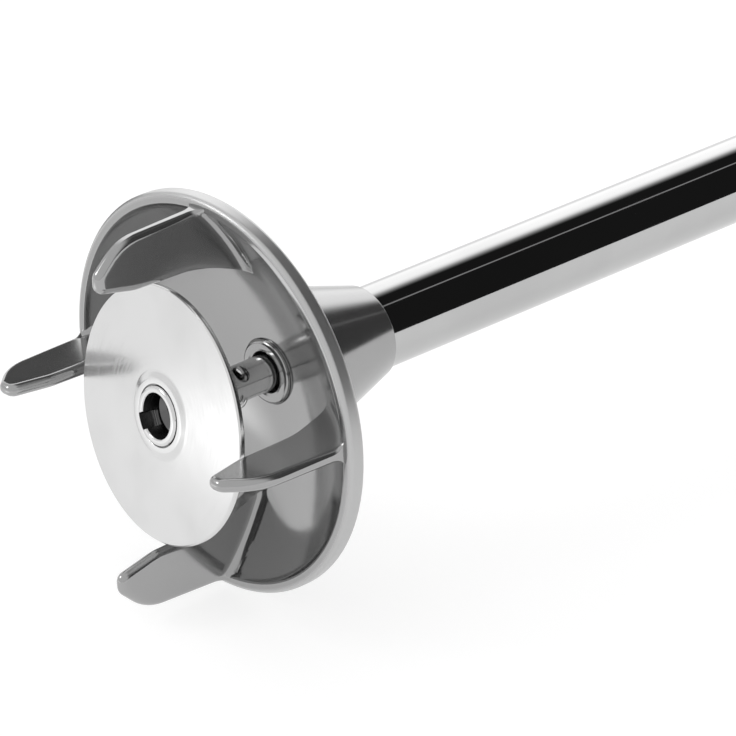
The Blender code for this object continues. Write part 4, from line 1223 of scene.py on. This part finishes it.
def make_speed_dial(looks):
    """A fluted knob with a mark on its face."""
    foot = SHELL_HALF + GAP
    top = foot + 6.5 * MM
    outline = [
        mm(41.0, 0),
        mm(41.0, 2.8),
        (foot, 2.8 * MM),
        (foot, 11.5 * MM, 0.4 * MM),
        (foot + 1.4 * MM, 11.5 * MM, 0.4 * MM),
        (foot + 2.0 * MM, 11.0 * MM, 0.3 * MM),
        (top, 10.5 * MM, 1.2 * MM),
        (top, 8.6 * MM, 0.3 * MM),
        (top - 0.4 * MM, 8.0 * MM, 0.3 * MM),
        (top - 0.4 * MM, 0),
    ]
    flutes = repeated_mesh(
        lambda: placed(rod_mesh((foot + 2.4 * MM, foot + 8 * MM), 0.9 * MM, 24, edge=0.6 * MM),
                       Matrix.Translation(mm(0, 0, 11.3))),
        evenly_round(20),
    )
    mark = box_mesh((2 * MM, -0.6 * MM, foot + 5.4 * MM), (9.4 * MM, 0.6 * MM, foot + 8 * MM), 0.2 * MM)
    place = upright(DIAL_X, 0)
    bm = placed(turned_mesh(rounded(outline, closed=False), 112), place)
    piece("dial", bm, looks["dark_plastic"], "speed_dial", "dial_knob",
          cuts=[placed(flutes, place), placed(mark, Matrix.Translation((DIAL_X, 0, 0)))])


# ---------------------------------------------------------------- stage


def make_floor():
    """A plain pale floor with a glow that keeps shadows faint, and a brighter pool that the disc mirrors."""
    look = Look("pale_floor", grey(0.35), 0.9)
    look.shader.inputs["Specular IOR Level"].default_value = 0.0
    look.shader.inputs["Emission Color"].default_value = (1, 1, 1, 1)
    from_pool = look.add("VectorMath")
    from_pool.operation = "DISTANCE"
    from_pool.inputs[1].default_value = (AXIS.x - 160 * MM, AXIS.y + 85 * MM, 0)
    look.tree.links.new(look.place, from_pool.inputs[0])
    glow = look.ranged(from_pool.outputs["Value"], POOL_GLOW, FLOOR_GLOW, *mm(30, 80))
    look.link(glow, "Emission Strength")
    look.vary_colour(look.noise(3), grey(0.34))
    bm = bmesh.new()
    bmesh.ops.create_grid(bm, x_segments=1, y_segments=1, size=30)
    floor = new_object("floor", bm, look.material, (0, 0, CAD_BOX[0].z - 0.05 * MM))


def between(tree, value, start, end, soft):
    """1 where the value lies between start and end, with soft ends."""
    edges = []
    for place in (start, end):
        edge = add_node(tree, "MapRange", From_Min=place - soft, From_Max=place + soft, Value=value)
        edge.interpolation_type = "SMOOTHSTEP"
        edges.append(edge.outputs["Result"])
    return computed(tree, "SUBTRACT", *edges)


def make_world():
    """A studio that the camera sees as a plain white, while the steel mirrors STUDIO_BANDS."""
    world = bpy.data.worlds.new("studio")
    world.use_nodes = True
    bpy.context.scene.world = world
    tree = world.node_tree
    split = add_node(tree, "SeparateXYZ", Vector=add_node(tree, "TexCoord").outputs["Generated"])
    angle = computed(tree, "ARCTAN2", split.outputs["Z"], split.outputs["Y"])
    mirrored = grey(ROOM_LEVEL)
    for start, end, soft, reach, level in STUDIO_BANDS:
        round_x = between(tree, angle, math.radians(start), math.radians(end), soft)
        along_x = between(tree, split.outputs["X"], *reach)
        mirrored = blended(tree, computed(tree, "MULTIPLY", round_x, along_x), mirrored, grey(level))
    by_camera = add_node(tree, "LightPath").outputs["Is Camera Ray"]
    background = tree.nodes["Background"]
    tree.links.new(blended(tree, by_camera, mirrored, grey(SEEN_LEVEL)), background.inputs["Color"])
    background.inputs["Strength"].default_value = 1.0


def make_flag():
    """A small black card above the left finger. Only reflections show it: it darkens the finger's top."""
    look = Look("flag", grey(0.03), 0.9)
    look.vary_colour(look.noise(20), grey(0.04))
    finger = AXIS + Vector(mm(-26, 43, -3))
    towards = Vector((0.59, 0.725, 0.358)).normalized()  # what the finger's top mirrors
    along = (Vector((1, 0, 0)) - towards.x * towards).normalized()
    aside = towards.cross(along)
    centre = finger + towards * 80 * MM
    corners = [mm(-36, -24), mm(10, -24), mm(10, 24), mm(-36, 24)]
    bm = bmesh.new()
    bm.faces.new([bm.verts.new(centre + along * u + aside * v) for u, v in corners])
    flag = new_object("flag", bm, look.material, (0, 0, 0))
    flag.visible_camera = False
    flag.visible_diffuse = False
    flag.visible_shadow = False


def make_lights():
    """One large soft light overhead. The steel doesn't mirror it."""
    lamp = bpy.data.lights.new("overhead", "AREA")
    lamp.shape = "DISK"
    lamp.size = 2.4
    lamp.energy = 3.0
    overhead = bpy.data.objects.new("overhead", lamp)
    overhead.location = (AXIS.x, 0.3, 2.0)
    overhead.visible_camera = False
    overhead.visible_glossy = False
    bpy.context.scene.collection.objects.link(overhead)


def make_camera():
    """Looks down on the mixing head from its front right, with a long lens."""
    sin_a, cos_a = math.sin(VIEW_AZIMUTH), math.cos(VIEW_AZIMUTH)
    sin_e, cos_e = math.sin(VIEW_ELEVATION), math.cos(VIEW_ELEVATION)
    back = Vector((sin_a * cos_e, -cos_a * cos_e, sin_e))
    right = Vector((cos_a, sin_a, 0))
    up = back.cross(right)
    camera = bpy.data.cameras.new("camera")
    camera.lens = LENS
    camera.sensor_width = SENSOR
    camera.clip_end = 100
    obj = bpy.data.objects.new("camera", camera)
    obj.location = AXIS + right * VIEW_RIGHT + up * VIEW_UP + back * VIEW_DISTANCE
    obj.rotation_euler = (-back).to_track_quat("-Z", "Y").to_euler()
    bpy.context.scene.collection.objects.link(obj)
    bpy.context.scene.camera = obj


def main():
    looks = make_looks()
    dress_cad_nodes(looks)
    make_guard_bell(looks)
    make_foot(looks)
    make_lock_collar(looks)
    make_drive(looks)
    make_motor_nose(looks)
    make_shells(looks)
    make_shell_screws(looks)
    make_bumpers(looks)
    make_end_cap(looks)
    make_cord_gland(looks)
    make_trigger(looks)
    make_lock_button(looks)
    make_speed_dial(looks)
    make_floor()
    make_world()
    make_flag()
    make_lights()
    make_camera()
    bpy.context.scene.view_settings.view_transform = "Standard"


main()
